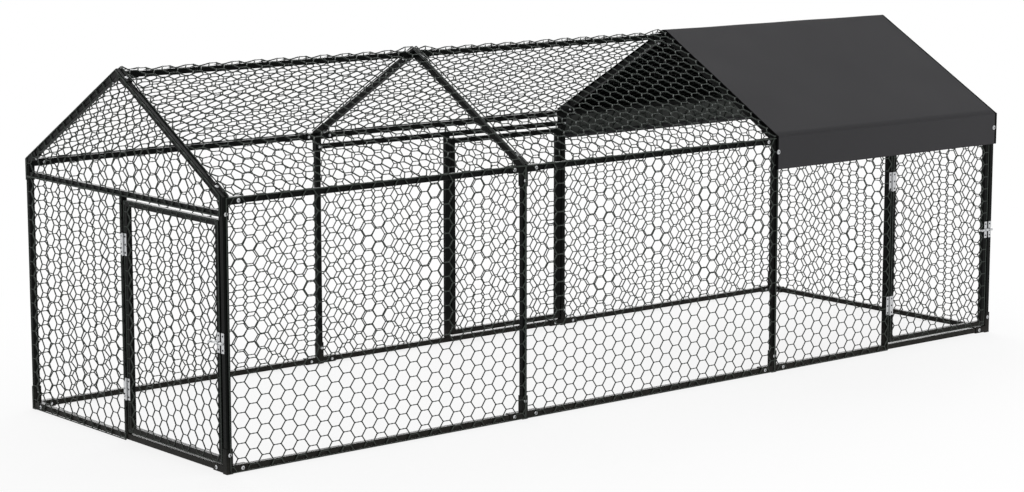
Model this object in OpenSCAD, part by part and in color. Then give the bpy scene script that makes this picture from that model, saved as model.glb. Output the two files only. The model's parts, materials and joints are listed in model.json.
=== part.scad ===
// Poultry run about a metre high: a bolted square-tube frame of three bays under a pitched roof,
// wrapped in hexagonal wire netting, with three half-bay doors and a sheet cover over the last bay.
// X runs along the run (the entrance end is at -X), Y runs to the rear wall and Z is up.
// The origin lies on the ground under the middle of the run.

/* [Run] */
// Spacing of the four frames along the run, centre to centre
bay_pitch = 990; // [940:1:1060]
// Spacing of the front and rear posts, centre to centre
post_span = 984; // [940:1:1060]
// Height of the eave rails' centre lines above the ground
eave_z = 710; // [660:1:780]
// Slope of the roof in degrees
roof_pitch = 30; // [25:1:35]

/* [Tube] */
// Side of the square tube
tube = 16; // [15:0.5:20]
// Wall of the square tube
tube_wall = 1.2; // [0.8:0.1:1.8]
// Outer corner radius of the tubes and sleeves
corner_r = 1.6; // [1:0.1:2]

/* [Brackets] */
// Wall of the welded sleeves that the tubes slide into
sleeve_wall = 1.7; // [1.4:0.1:2.4]
// Play on each side of a tube in its sleeve or on its spigot
slide_fit = 0.3; // [0.2:0.05:0.5]
// Reach of a sleeve from the centre of its joint
sleeve_reach = 55; // [48:1:75]
// Solid floor at the bottom of a sleeve
sleeve_floor = 2; // [1:0.5:6]
// Depth of the rail sleeves under the plane of the rafter sleeves' tops
roof_tuck = 2; // [1.5:0.1:3]
// Gap between the end of a tube and what it butts against
end_play = 0.2; // [0.1:0.05:0.5]
// Length of the spigots that carry the tie rails, header rails and jambs
spigot_len = 24; // [18:1:36]
// Height of the plastic foot caps
foot_h = 2; // [2:0.5:6]
// Diameter of a foot cap's peg
peg_d = 6; // [4:0.5:8]
// Length of a foot cap's peg
peg_len = 6; // [4:0.5:8]

/* [Bolts] */
// Diameter of the frame bolts
bolt_d = 5; // [4:0.5:6]
// Play round a bolt in its hole
bolt_play = 0.3; // [0.2:0.05:0.4]
// Diameter of a bolt's pan head
head_d = 11; // [9:0.5:12]
// Diameter across the top of a bolt's pan head
head_top_d = 7.5; // [6:0.5:8.5]
// Height of a bolt's pan head
head_h = 2.2; // [1.6:0.1:3]
// Width of a nut across its flats
nut_af = 8; // [7:0.5:10]
// Height of a nut
nut_h = 4; // [3:0.5:5]
// Length of thread that stands out past a nut
thread_out = 1.5; // [1:0.5:3]
// Distance of a bolt from the mouth of its sleeve
bolt_inset = 16; // [10:1:20]

/* [Doors] */
// Width of a door over its frame
door_w = 458; // [400:1:500]
// Gap between a door and its jamb
hinge_gap = 6; // [5:0.5:9]
// Gap between a door and the post that it latches to
latch_gap = 6; // [5:0.5:9]
// Gap under a door
sill_gap = 5; // [4:0.5:9]
// Gap above a door
head_gap = 8; // [5:0.5:12]
// Gap left at a mitred corner of a door frame
mitre_gap = 0.1; // [0.05:0.05:0.2]
// Length of a corner key's arms past the corner's centre
key_len = 30; // [20:1:45]
// Diameter of a corner rivet
rivet_d = 4; // [3:0.5:5]
// Length of a corner rivet under its head
rivet_len = 11; // [9:0.5:12]
// Diameter of a corner rivet's head
rivet_head_d = 8; // [6.5:0.5:9]
// Diameter across the top of a corner rivet's head
rivet_top_d = 5.5; // [4:0.5:6]
// Height of a corner rivet's head
rivet_head_h = 1.3; // [1:0.1:1.6]

/* [Hinges] */
// Height of a hinge
hinge_h = 60; // [45:1:80]
// Distance of a hinge's middle from the end of its door
hinge_inset = 120; // [70:1:160]
// Thickness of the hinge leaves and latch plates
leaf_t = 1.2; // [0.8:0.1:1.4]
// Diameter of a hinge knuckle
knuckle_d = 5.4; // [5:0.1:6]
// Gap between two knuckles
knuckle_gap = 0.3; // [0.2:0.05:0.5]
// Gap between a knuckle and the faces of the tubes
knuckle_back = 0.5; // [0.3:0.05:0.7]
// Diameter of a hinge pin
pin_d = 3; // [2.6:0.1:3.2]
// Play round a hinge pin
pin_play = 0.1; // [0.05:0.05:0.2]
// Thickness of the peened cap on each end of a hinge pin
cap_h = 1; // [0.8:0.1:1.5]
// Diameter of the hinge and latch screws
screw_d = 3; // [2.5:0.1:3.5]
// Diameter of a hinge or latch screw's head
screw_head_d = 5.6; // [5:0.1:6.5]
// Diameter across the top of a hinge or latch screw's head
screw_top_d = 4; // [3:0.1:4.8]
// Height of a hinge or latch screw's head
screw_head_h = 1; // [0.8:0.1:1.2]
// Length of a hinge or latch screw under its plate
screw_len = 5; // [4:0.5:7]
// Distance of a screw from the end of its leaf or plate
screw_inset = 8; // [6:0.5:12]

/* [Latches] */
// Height of a latch plate
plate_h = 53; // [40:1:65]
// Distance of a latch plate from the edge of its tube
plate_edge = 0.5; // [0.2:0.1:1]
// Diameter of the sliding bolt
rod_d = 6; // [5:0.5:7]
// Play round the sliding bolt in its loops
rod_play = 0.3; // [0.25:0.05:0.4]
// Wall of the loops that hold the sliding bolt
loop_wall = 1.2; // [1:0.1:2]
// Clearance of the sliding bolt over the netting
rod_lift = 0.6; // [0.4:0.1:2]
// Length of the sliding bolt's tip past its own loop when it is drawn back
tip_out = 3; // [2:0.5:3.5]
// Diameter of the stem between the sliding bolt and its knob
stem_d = 4.5; // [4:0.5:5]
// Diameter of the sliding bolt's knob
knob_d = 8; // [7:0.5:10]
// Gap between the knob and its latch plate when the bolt is home
knob_gap = 1; // [0.5:0.1:3]
// Height of the knob's middle over the sliding bolt
knob_out = 6; // [5:0.5:10]

/* [Netting] */
// Thickness of the netting
net_t = 1.6; // [1:0.1:2]
// Gap between the netting and the brackets or tubes that it lies on
net_gap = 0.2; // [0.1:0.05:0.4]
// Width of a strand of the netting
net_strand = 4; // [3:0.5:6]
// Width of the netting's edge strip
net_border = 5; // [4:0.5:8]
// Size of one cell of the netting, about five cells of the wire mesh that it stands for
net_cell = 225; // [205:1:270]
// Share of a cell's width that its slanting wires take
net_slant = 0.36; // [0.25:0.01:0.45]
// Lap of the netting over the stiles and jambs
net_lap = 2.5; // [2:0.5:3.5]
// Clearance of the netting beside bolt heads, hinge leaves and latch plates
head_room = 1; // [0.5:0.1:2]
// Gap between two pieces of netting side by side
seam_gap = 0.3; // [0.2:0.1:0.6]

/* [Cover] */
// Thickness of the cover sheet
cover_t = 1; // [0.8:0.1:1.5]
// Gap between the cover and the bolt heads under it
cover_gap = 0.3; // [0.2:0.05:0.6]
// Lap of the cover past the centre line of its inner rafter
cover_lap = 9; // [8:0.5:20]
// Drop of the flaps under the eave rails' centre lines
flap_drop = 86; // [60:1:140]
// Depth of the cover's turned-down end hem
hem_depth = 22; // [14:1:40]
// Gap at the seam between the roof sheet and a flap
fold_gap = 0.2; // [0.1:0.05:0.4]
// Diameter of an eyelet's flange
eyelet_d = 14; // [12:0.5:16]
// Diameter of an eyelet's barrel
barrel_d = 9; // [8:0.5:10]
// Thickness of an eyelet's flange
flange_t = 0.6; // [0.4:0.1:1]

/* [Hidden] */
$fn = 32;

// Colours of the finishes
coat = "#202322";
zinc = "#c9ccce";
wire = "#45494a";
sheet = "#434345";
rubber = "#161616";

// Tubes, sleeves and their joints
half = tube / 2;
bore = tube - 2 * tube_wall;
spigot = bore - 2 * slide_fit;
sleeve = tube + 2 * (slide_fit + sleeve_wall);
sleeve_half = sleeve / 2;
tube_start = sleeve_half + sleeve_floor + end_play;
bolt_reach = sleeve_reach - bolt_inset;
bolt_hole = bolt_d + 2 * bolt_play;
cut = 4 * sleeve_reach;
over = 1;

// Frame lines
sides = [-1, 1];
frames = [0, 1, 2, 3];
bays = [0, 1, 2];
covered_bay = 2;
mid_frame = (len(frames) - 1) / 2;
half_span = post_span / 2;
end_x = mid_frame * bay_pitch;
function frame_x(i) = (i - mid_frame) * bay_pitch;
function is_end(i) = i == 0 || i == 3;
function rail_ways(i) = i == 0 ? [1] : i == 3 ? [-1] : [-1, 1];

// Heights: the eave and ridge rails tuck under the roof planes that the rafter sleeves make
base_z = foot_h + sleeve_half;
rafter_lift = roof_tuck + sleeve_half * (1 - 1 / cos(roof_pitch) + tan(roof_pitch));
rafter_eave_z = eave_z + rafter_lift;
rafter_len = half_span / cos(roof_pitch);
rafter_apex_z = rafter_eave_z + rafter_len * sin(roof_pitch);
ridge_z = rafter_apex_z - rafter_lift;
tie_z = rafter_eave_z - bolt_reach;

// Doors: U runs from the jamb to the latch post, N points out of the wall, and U = 0 is the jamb
doors = ["end", "rear", "front"];
door_start = half + hinge_gap;
door_end = door_start + door_w;
latch_post_u = door_end + latch_gap + half;
door_z0 = base_z + half + sill_gap;
door_z1 = tie_z - half - head_gap;
door_h = door_z1 - door_z0;
end_jamb_y = -half_span + latch_post_u;
rear_jamb_x = frame_x(2) - latch_post_u;
front_jamb_x = frame_x(3) - latch_post_u;
jamb_len = tie_z - base_z - tube;

// Hinges
axis_u = half + hinge_gap / 2;
axis_n = half + knuckle_back + knuckle_d / 2;
hinge_zs = [door_z0 + hinge_inset, door_z1 - hinge_inset];
leaf_w = tube - net_lap - head_room;
leaf_start = knuckle_d / 2 + knuckle_gap;
leaf_end = hinge_gap / 2 + leaf_w;
leaf_mid = (leaf_start + leaf_end) / 2;
knuckles = 5;
knuckle_pitch = hinge_h / knuckles;
leaf_screw_zs = [screw_inset - hinge_h / 2, 0, hinge_h / 2 - screw_inset];
screw_hole = screw_d + 2 * bolt_play;

// Latches
door_net_n = half + net_gap;
rod_n = door_net_n + net_t + rod_lift + rod_d / 2;
latch_z = (door_z0 + door_z1) / 2;
plate_u = door_end - plate_edge - leaf_w;
keeper_u = latch_post_u - half + plate_edge;
rod_tip = plate_u + leaf_w + tip_out;
rod_travel = keeper_u + leaf_w - rod_tip;
knob_u = plate_u - rod_travel - knob_d / 2 - knob_gap;
plate_screw_zs = [screw_inset - plate_h / 2, plate_h / 2 - screw_inset];

// Netting
net_n = sleeve_half + net_gap;
net_side = max(head_d / 2 + head_room, half - net_lap + plate_edge);
net_low = base_z + net_side;
net_high = eave_z - net_side;
net_wide = half_span - net_side;
jamb_lap_u = net_lap - half;

// Cover
cover_in = sleeve_half + head_h + cover_gap;
cover_out = cover_in + cover_t;
cover_x0 = frame_x(covered_bay) - cover_lap;
cover_x1 = end_x + cover_out;
flap_z = eave_z - flap_drop;
seat_n = cover_out + end_play + flange_t;

// Directions: each turns local Z along the named way and keeps the bolts square to the tube

module along_x(way) {
    rotate([0, 90 * way, 0])
        children();
}

module along_y(way) {
    rotate([-90 * way, 0, 0])
        children();
}

module up_roof() {
    rotate([90 - roof_pitch, 0, 0])
        children();
}

module down_roof() {
    rotate([-90 - roof_pitch, 0, 0])
        children();
}

// Turns work drawn for the rear wall or slope to the side asked for
module on_side(side) {
    mirror([0, side < 0 ? 1 : 0, 0])
        children();
}

// Moves work drawn as U, N, Z to the doorway asked for
module at_door(which) {
    if (which == "end")
        translate([-end_x, end_jamb_y, 0])
            rotate([0, 0, -90])
                mirror([0, 1, 0])
                    children();
    if (which == "rear")
        translate([rear_jamb_x, half_span, 0])
            children();
    if (which == "front")
        translate([front_jamb_x, -half_span, 0])
            mirror([0, 1, 0])
                children();
}

// Tube stock

module rounded_square(w) {
    square([w - 2 * corner_r, w], center = true);
    square([w, w - 2 * corner_r], center = true);
    for (x = sides, y = sides)
        translate([x, y] * (w / 2 - corner_r))
            circle(corner_r);
}

module tube_stock(length) {
    linear_extrude(length)
        difference() {
            rounded_square(tube);
            square(bore, center = true);
        }
}

// A hole square to local Z: along local Y, or along local X when turned by 90
module cross_hole(d, turn) {
    rotate([0, 0, turn])
        rotate([90, 0, 0])
            cylinder(d = d, h = sleeve + 2 * over, center = true);
}

// A tube between two joints whose centres lie the given distance apart
module joint_tube(pitch, turn) {
    difference() {
        translate([0, 0, tube_start])
            tube_stock(pitch - 2 * tube_start);
        for (z = [bolt_reach, pitch - bolt_reach])
            translate([0, 0, z])
                cross_hole(bolt_hole, turn);
    }
}

// A short square peg that a tube slips over, standing on local Z = 0
module spigot_peg() {
    translate([0, 0, -tube_wall])
        linear_extrude(spigot_len + tube_wall)
            square(spigot, center = true);
}

// Brackets

module sleeve_arm() {
    linear_extrude(sleeve_reach)
        rounded_square(sleeve);
}

module sleeve_socket(turn) {
    translate([0, 0, sleeve_half + sleeve_floor])
        linear_extrude(sleeve_reach)
            square(tube + 2 * slide_fit, center = true);
    translate([0, 0, bolt_reach])
        cross_hole(bolt_hole, turn);
}

// The half of space on one side of a plane through the X axis, tilted by the given angle
module half_space(tilt, way) {
    rotate([tilt, 0, 0])
        translate([-cut / 2, -cut / 2, way > 0 ? 0 : -cut])
            cube(cut);
}

module base_bracket(x_ways, y_ways) {
    difference() {
        union() {
            translate([0, 0, -sleeve_half])
                linear_extrude(sleeve_half + sleeve_reach)
                    rounded_square(sleeve);
            for (way = x_ways)
                along_x(way)
                    sleeve_arm();
            for (way = y_ways)
                along_y(way)
                    sleeve_arm();
        }
        sleeve_socket(0);
        for (way = x_ways)
            along_x(way)
                sleeve_socket(0);
        for (way = y_ways)
            along_y(way)
                sleeve_socket(90);
        translate([0, 0, -sleeve_half - over])
            cylinder(d = peg_d + 2 * slide_fit, h = peg_len + end_play + over);
    }
}

// Drawn for the rear wall about the crossing of the post's and the rafter's centre lines
module eave_bracket(x_ways, header_ways, has_tie) {
    mitre = 225 - roof_pitch / 2;
    rail_drop = [0, 0, -rafter_lift];
    difference() {
        union() {
            difference() {
                translate([0, 0, -sleeve_reach])
                    linear_extrude(sleeve_reach + sleeve)
                        rounded_square(sleeve);
                half_space(mitre, -1);
            }
            difference() {
                up_roof()
                    translate([0, 0, -sleeve])
                        linear_extrude(sleeve_reach + sleeve)
                            rounded_square(sleeve);
                half_space(mitre, 1);
            }
            translate(rail_drop)
                for (way = x_ways)
                    along_x(way)
                        sleeve_arm();
            translate([0, 0, -bolt_reach]) {
                for (way = header_ways)
                    translate([way * sleeve_half, 0, 0])
                        along_x(way)
                            spigot_peg();
                if (has_tie)
                    translate([0, -sleeve_half, 0])
                        along_y(-1)
                            spigot_peg();
            }
        }
        mirror([0, 0, 1])
            sleeve_socket(0);
        up_roof()
            sleeve_socket(0);
        translate(rail_drop)
            for (way = x_ways)
                along_x(way)
                    sleeve_socket(0);
        if (has_tie)
            translate([0, 0, -bolt_reach])
                along_y(-1)
                    cylinder(d = bolt_hole, h = sleeve_half + spigot_len - sleeve_wall);
    }
}

// Drawn about the crossing of the two rafters' centre lines
module ridge_bracket(x_ways) {
    rail_drop = [0, 0, -rafter_lift];
    difference() {
        union() {
            for (side = sides)
                on_side(side)
                    difference() {
                        down_roof()
                            translate([0, 0, -sleeve])
                                linear_extrude(sleeve_reach + sleeve)
                                    rounded_square(sleeve);
                        half_space(90, 1);
                    }
            translate(rail_drop)
                for (way = x_ways)
                    along_x(way)
                        sleeve_arm();
        }
        for (side = sides)
            on_side(side)
                down_roof()
                    sleeve_socket(0);
        translate(rail_drop)
            for (way = x_ways)
                along_x(way)
                    sleeve_socket(90);
    }
}

// Frame

module foot_caps() {
    color(rubber)
        for (i = frames, side = sides)
            translate([frame_x(i), side * half_span, 0]) {
                linear_extrude(foot_h)
                    rounded_square(sleeve);
                cylinder(d = peg_d, h = foot_h + peg_len);
            }
}

module base_corner_brackets() {
    color(coat)
        for (i = [0, 3], side = sides)
            translate([frame_x(i), side * half_span, base_z])
                base_bracket(rail_ways(i), [-side]);
}

module base_tee_brackets() {
    color(coat)
        for (i = [1, 2], side = sides)
            translate([frame_x(i), side * half_span, base_z])
                base_bracket(rail_ways(i), []);
}

// Ways along X in which a post carries a door's header rail
function header_ways(i, side) =
    side > 0 ? (i == 1 ? [1] : i == 2 ? [-1] : [])
             : (i == 2 ? [1] : i == 3 ? [-1] : []);

module eave_brackets(which) {
    color(coat)
        for (i = which, side = sides)
            translate([frame_x(i), 0, rafter_eave_z])
                on_side(side)
                    translate([0, half_span, 0])
                        eave_bracket(rail_ways(i), header_ways(i, side), is_end(i));
}

module eave_corner_brackets() {
    eave_brackets([0, 3]);
}

module eave_tee_brackets() {
    eave_brackets([1, 2]);
}

module ridge_brackets(which) {
    color(coat)
        for (i = which)
            translate([frame_x(i), 0, rafter_apex_z])
                ridge_bracket(rail_ways(i));
}

module ridge_end_brackets() {
    ridge_brackets([0, 3]);
}

module ridge_cross_brackets() {
    ridge_brackets([1, 2]);
}

// The keeper's screws pierce the outer face of a post that a door latches to
module keeper_screw_holes() {
    for (z = plate_screw_zs)
        translate([keeper_u + leaf_w / 2, 0, latch_z + z])
            face_hole(screw_hole);
}

module posts(which) {
    color(coat)
        difference() {
            for (i = which, side = sides)
                translate([frame_x(i), side * half_span, base_z])
                    joint_tube(rafter_eave_z - base_z, 0);
            for (which_door = doors)
                at_door(which_door)
                    keeper_screw_holes();
        }
}

module corner_posts() {
    posts([0, 3]);
}

module middle_posts() {
    posts([1, 2]);
}

module side_base_rails() {
    color(coat) {
        for (i = bays, side = sides)
            translate([frame_x(i), side * half_span, base_z])
                along_x(1)
                    joint_tube(bay_pitch, 0);
        for (place = [[rear_jamb_x, half_span], [front_jamb_x, -half_span]])
            translate([place[0], place[1], base_z + half])
                spigot_peg();
    }
}

module end_base_rails() {
    color(coat) {
        for (end = sides)
            translate([end * end_x, -half_span, base_z])
                along_y(1)
                    joint_tube(post_span, 90);
        translate([-end_x, end_jamb_y, base_z + half])
            spigot_peg();
    }
}

module eave_rails() {
    color(coat)
        for (i = bays, side = sides)
            translate([frame_x(i), side * half_span, eave_z])
                along_x(1)
                    joint_tube(bay_pitch, 0);
}

module ridge_rails() {
    color(coat)
        for (i = bays)
            translate([frame_x(i), 0, ridge_z])
                along_x(1)
                    joint_tube(bay_pitch, 90);
}

module rafters() {
    color(coat)
        for (i = frames, side = sides)
            translate([frame_x(i), 0, rafter_eave_z])
                on_side(side)
                    translate([0, half_span, 0])
                        up_roof()
                            joint_tube(rafter_len, 0);
}

// A rail that slips over spigots between two post sleeves
module spigot_rail(pitch) {
    translate([0, 0, sleeve_half + end_play])
        tube_stock(pitch - 2 * (sleeve_half + end_play));
}

module hanging_peg() {
    translate([0, 0, -half])
        mirror([0, 0, 1])
            spigot_peg();
}

module end_tie_rails() {
    color(coat) {
        for (end = sides)
            translate([end * end_x, -half_span, tie_z])
                along_y(1)
                    spigot_rail(post_span);
        translate([-end_x, end_jamb_y, tie_z])
            hanging_peg();
    }
}

module door_header_rails() {
    color(coat) {
        translate([frame_x(1), half_span, tie_z])
            along_x(1)
                spigot_rail(bay_pitch);
        translate([frame_x(2), -half_span, tie_z])
            along_x(1)
                spigot_rail(bay_pitch);
        translate([rear_jamb_x, half_span, tie_z])
            hanging_peg();
        translate([front_jamb_x, -half_span, tie_z])
            hanging_peg();
    }
}

module door_jambs() {
    color(coat)
        for (which = doors)
            at_door(which)
                difference() {
                    translate([0, 0, base_z + half + end_play])
                        tube_stock(jamb_len - 2 * end_play);
                    leaf_screw_places(-1)
                        face_hole(screw_hole);
                }
}

// Bolts: each place has the tube's axis at its origin and local Z out through the bolt's head

module rail_bolt_places(z) {
    for (i = frames, side = sides, way = rail_ways(i))
        translate([frame_x(i) + way * bolt_reach, side * half_span, z])
            along_y(side)
                children();
}

module end_rail_bolt_places() {
    for (end = sides, side = sides)
        translate([end * end_x, side * (half_span - bolt_reach), base_z])
            along_x(end)
                children();
}

module post_bolt_places(which, z) {
    for (i = which, side = sides)
        translate([frame_x(i), side * half_span, z])
            along_y(side)
                children();
}

module rafter_bolt_places() {
    for (i = frames, side = sides, t = [bolt_reach, rafter_len - bolt_reach])
        translate([frame_x(i), side * (half_span - t * cos(roof_pitch)), rafter_eave_z + t * sin(roof_pitch)])
            rotate([-side * roof_pitch, 0, 0])
                children();
}

module ridge_bolt_places() {
    for (i = frames, way = rail_ways(i))
        translate([frame_x(i) + way * bolt_reach, 0, ridge_z])
            children();
}

module nutted_bolt_places() {
    rail_bolt_places(base_z)
        children();
    rail_bolt_places(eave_z)
        children();
    end_rail_bolt_places()
        children();
    post_bolt_places([1, 2, 3], base_z + bolt_reach)
        children();
    rafter_bolt_places()
        children();
    ridge_bolt_places()
        children();
}

// A pan-head bolt from its seat down through the sleeve
module frame_bolt(seat, tip) {
    translate([0, 0, seat]) {
        cylinder(d = head_d, h = head_h / 2);
        translate([0, 0, head_h / 2])
            cylinder(d1 = head_d, d2 = head_top_d, h = head_h / 2);
    }
    translate([0, 0, tip])
        cylinder(d = bolt_d, h = seat - tip + head_h / 2);
}

// The entrance posts' lower bolts end in their sleeves, so that the door clears them
module frame_bolts() {
    nut_tip = -sleeve_half - nut_h - thread_out;
    tie_tip = -sleeve_half - spigot_len / 2;
    color(zinc) {
        nutted_bolt_places()
            frame_bolt(sleeve_half, nut_tip);
        post_bolt_places([0], base_z + bolt_reach)
            frame_bolt(sleeve_half, -sleeve_half);
        post_bolt_places([0], tie_z)
            frame_bolt(sleeve_half, tie_tip);
        post_bolt_places([1], tie_z)
            frame_bolt(sleeve_half, nut_tip);
        post_bolt_places([2], tie_z)
            frame_bolt(seat_n, nut_tip);
        post_bolt_places([3], tie_z)
            frame_bolt(seat_n, tie_tip);
    }
}

module frame_nut() {
    translate([0, 0, -sleeve_half - nut_h])
        difference() {
            cylinder(d = nut_af / cos(30), h = nut_h, $fn = 6);
            translate([0, 0, -over])
                cylinder(d = bolt_d + bolt_play, h = nut_h + 2 * over);
        }
}

module frame_nuts() {
    color(zinc) {
        nutted_bolt_places()
            frame_nut();
        post_bolt_places([1, 2], tie_z)
            frame_nut();
    }
}

// Netting: a sheet of elongated hexagonal gaps inside a plain edge strip

// A hexagonal gap of a cell with the given column pitch and row pitch, less half a strand all round
module mesh_gap(column, row) {
    rise = row / 2;
    slant = column * net_slant;
    point = (column + slant) / 2;
    inset = net_strand / 2;
    top = rise - inset;
    tip = point - inset * norm([rise, slant]) / rise;
    flat = tip - slant * top / rise;
    polygon([[tip, 0], [flat, top], [-flat, top], [-tip, 0], [-flat, -top], [flat, -top]]);
}

// A grid of gaps over a w by h field whose lower left corner is the origin, and past both its sides
module mesh_gaps(w, h) {
    columns = max(1, round(w / net_cell));
    rows = max(1, round(h / net_cell));
    column = w / columns;
    row = h / rows;
    for (c = [-1 : columns], r = [0 : rows - (c % 2 == 0 ? 1 : 0)])
        translate([(c + 0.5) * column, (r + (c % 2 == 0 ? 0.5 : 0)) * row])
            mesh_gap(column, row);
}

// A rectangular sheet from one corner to the other, in the plane of its wall
module net_panel(low, high) {
    size = high - low;
    edge = [net_border, net_border];
    linear_extrude(net_t)
        translate(low)
            difference() {
                square(size);
                intersection() {
                    translate(edge)
                        square(size - 2 * edge);
                    mesh_gaps(size[0], size[1]);
                }
            }
}

// Outline of a gable: plumb sides up to the rafters' centre lines, drawn in by the given edge
function gable_outline(low, edge) =
    let (
        w = net_wide - edge,
        peak = rafter_apex_z - edge / cos(roof_pitch),
        shoulder = peak - w * tan(roof_pitch)
    )
    [[-w, low + edge], [w, low + edge], [w, shoulder], [0, peak], [-w, shoulder]];

module gable_panel(low) {
    linear_extrude(net_t)
        difference() {
            polygon(gable_outline(low, 0));
            intersection() {
                polygon(gable_outline(low, net_border));
                translate([-net_wide, low])
                    mesh_gaps(2 * net_wide, rafter_apex_z - low);
            }
        }
}

// Stands a sheet drawn in X and Z on the outside of the front or rear wall
module on_wall(side, n) {
    on_side(side)
        translate([0, half_span + n + net_t, 0])
            rotate([90, 0, 0])
                children();
}

// Stands a sheet drawn in Y and Z on the outside of an end
module on_end(end) {
    translate([end > 0 ? end_x + net_n : -end_x - net_n - net_t, 0, 0])
        rotate([90, 0, 90])
            children();
}

module wall_bay_net(side, i) {
    color(wire)
        on_wall(side, net_n)
            net_panel([frame_x(i) + net_side, net_low], [frame_x(i + 1) - net_side, net_high]);
}

// The fixed half of a bay with a door, and the strip over that door
module door_bay_net(side, i, jamb_x) {
    split = jamb_x + jamb_lap_u;
    color(wire)
        on_wall(side, net_n) {
            net_panel([frame_x(i) + net_side, net_low], [split, net_high]);
            net_panel([split + seam_gap, tie_z], [frame_x(i + 1) - net_side, net_high]);
        }
}

module front_net_bay_1() {
    wall_bay_net(-1, 0);
}

module front_net_bay_2() {
    wall_bay_net(-1, 1);
}

module front_net_bay_3() {
    door_bay_net(-1, 2, front_jamb_x);
}

module rear_net_bay_1() {
    wall_bay_net(1, 0);
}

module rear_net_bay_2() {
    door_bay_net(1, 1, rear_jamb_x);
}

module rear_net_bay_3() {
    wall_bay_net(1, 2);
}

// Roof sheets run from the eave's outer corner up to the ridge line
module roof_nets(side) {
    low = -sleeve_half * tan(roof_pitch);
    high = rafter_len + net_n * tan(roof_pitch) - seam_gap / 2;
    color(wire)
        on_side(side)
            translate([0, half_span, rafter_eave_z])
                rotate([-roof_pitch, 0, 0])
                    translate([0, 0, net_n])
                        mirror([0, 1, 0])
                            for (i = bays)
                                net_panel([frame_x(i) + net_side, low], [frame_x(i + 1) - net_side, high]);
}

module front_roof_nets() {
    roof_nets(-1);
}

module rear_roof_nets() {
    roof_nets(1);
}

module entrance_gable_net() {
    color(wire)
        on_end(-1)
            gable_panel(tie_z + seam_gap);
}

module entrance_side_net() {
    color(wire)
        on_end(-1)
            net_panel([end_jamb_y - jamb_lap_u, net_low], [net_wide, tie_z]);
}

module closed_end_net() {
    color(wire)
        on_end(1)
            gable_panel(net_low);
}

// Cover over the last bay

function apex_point(n) = [0, rafter_apex_z + n / cos(roof_pitch)];
function fold_point(n, side) =
    [side * (half_span + n), rafter_apex_z + n / cos(roof_pitch) - (half_span + n) * tan(roof_pitch)];

// Cross section of the roof sheet between two distances out from the rafters' centre lines
module roof_section(inner, outer) {
    polygon([
        fold_point(outer, -1), apex_point(outer), fold_point(outer, 1),
        fold_point(inner, 1), apex_point(inner), fold_point(inner, -1)
    ]);
}

// Stands a cross section drawn in Y and Z at one place along the run and runs it to another
module along_run(from, to) {
    translate([from, 0, 0])
        rotate([90, 0, 90])
            linear_extrude(to - from)
                children();
}

module cover_roof() {
    color(sheet) {
        along_run(cover_x0, cover_x1)
            roof_section(cover_in, cover_out);
        along_run(cover_x1 - cover_t, cover_x1)
            intersection() {
                roof_section(cover_out - hem_depth, cover_out);
                translate([-half_span - cover_out, fold_point(cover_in, 1)[1]])
                    square([post_span + 2 * cover_out, rafter_apex_z]);
            }
    }
}

module eyelet_places() {
    post_bolt_places([2, 3], tie_z)
        children();
}

module cover_flap(side) {
    drop = [0, -fold_gap];
    color(sheet)
        difference() {
            along_run(cover_x0, cover_x1)
                polygon([
                    fold_point(cover_out, side) + drop, fold_point(cover_in, side) + drop,
                    [side * (half_span + cover_in), flap_z], [side * (half_span + cover_out), flap_z]
                ]);
            eyelet_places()
                cylinder(d = barrel_d + 2 * end_play, h = seat_n + over);
        }
}

module cover_front_flap() {
    cover_flap(-1);
}

module cover_rear_flap() {
    cover_flap(1);
}

module cover_eyelets() {
    color(zinc)
        eyelet_places()
            difference() {
                union() {
                    translate([0, 0, sleeve_half + end_play / 2])
                        cylinder(d = barrel_d, h = seat_n - sleeve_half - end_play);
                    translate([0, 0, cover_out + end_play / 2])
                        cylinder(d = eyelet_d, h = flange_t);
                }
                cylinder(d = bolt_hole, h = seat_n + over);
            }
}

// Hinges and latches, drawn as U, N, Z

// A hole into the outer face of a tube, along N
module face_hole(d) {
    along_y(1)
        cylinder(d = d, h = sleeve);
}

// Places of a leaf's screws: the jamb leaf lies at side -1 of the hinge axis and the door leaf at 1
module leaf_screw_places(side) {
    for (z = hinge_zs, dz = leaf_screw_zs)
        translate([axis_u + side * leaf_mid, 0, z + dz])
            children();
}

module hinge_leaf(side, own_knuckles) {
    mirror([side < 0 ? 1 : 0, 0, 0])
        difference() {
            union() {
                translate([leaf_start, half, -hinge_h / 2])
                    cube([leaf_end - leaf_start, leaf_t, hinge_h]);
                for (k = own_knuckles)
                    translate([0, 0, k * knuckle_pitch - hinge_h / 2 + knuckle_gap / 2]) {
                        translate([0, half, 0])
                            cube([leaf_start + over, leaf_t, knuckle_pitch - knuckle_gap]);
                        translate([0, axis_n, 0])
                            cylinder(d = knuckle_d, h = knuckle_pitch - knuckle_gap);
                    }
            }
            translate([0, axis_n, -hinge_h])
                cylinder(d = pin_d + 2 * pin_play, h = 2 * hinge_h);
            for (dz = leaf_screw_zs)
                translate([leaf_mid, 0, dz])
                    face_hole(screw_hole);
        }
}

module hinge_leaves(which, side, own_knuckles) {
    color(zinc)
        at_door(which)
            for (z = hinge_zs)
                translate([axis_u, 0, z])
                    hinge_leaf(side, own_knuckles);
}

module jamb_hinge_leaves() {
    for (which = doors)
        hinge_leaves(which, -1, [0, 2, 4]);
}

module hinge_pins() {
    cap_d = (pin_d + knuckle_d) / 2;
    color(zinc)
        for (which = doors)
            at_door(which)
                for (z = hinge_zs)
                    translate([axis_u, axis_n, z]) {
                        cylinder(d = pin_d, h = hinge_h, center = true);
                        for (way = sides)
                            translate([0, 0, way * (hinge_h + cap_h) / 2])
                                cylinder(d = cap_d, h = cap_h, center = true);
                    }
}

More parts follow.
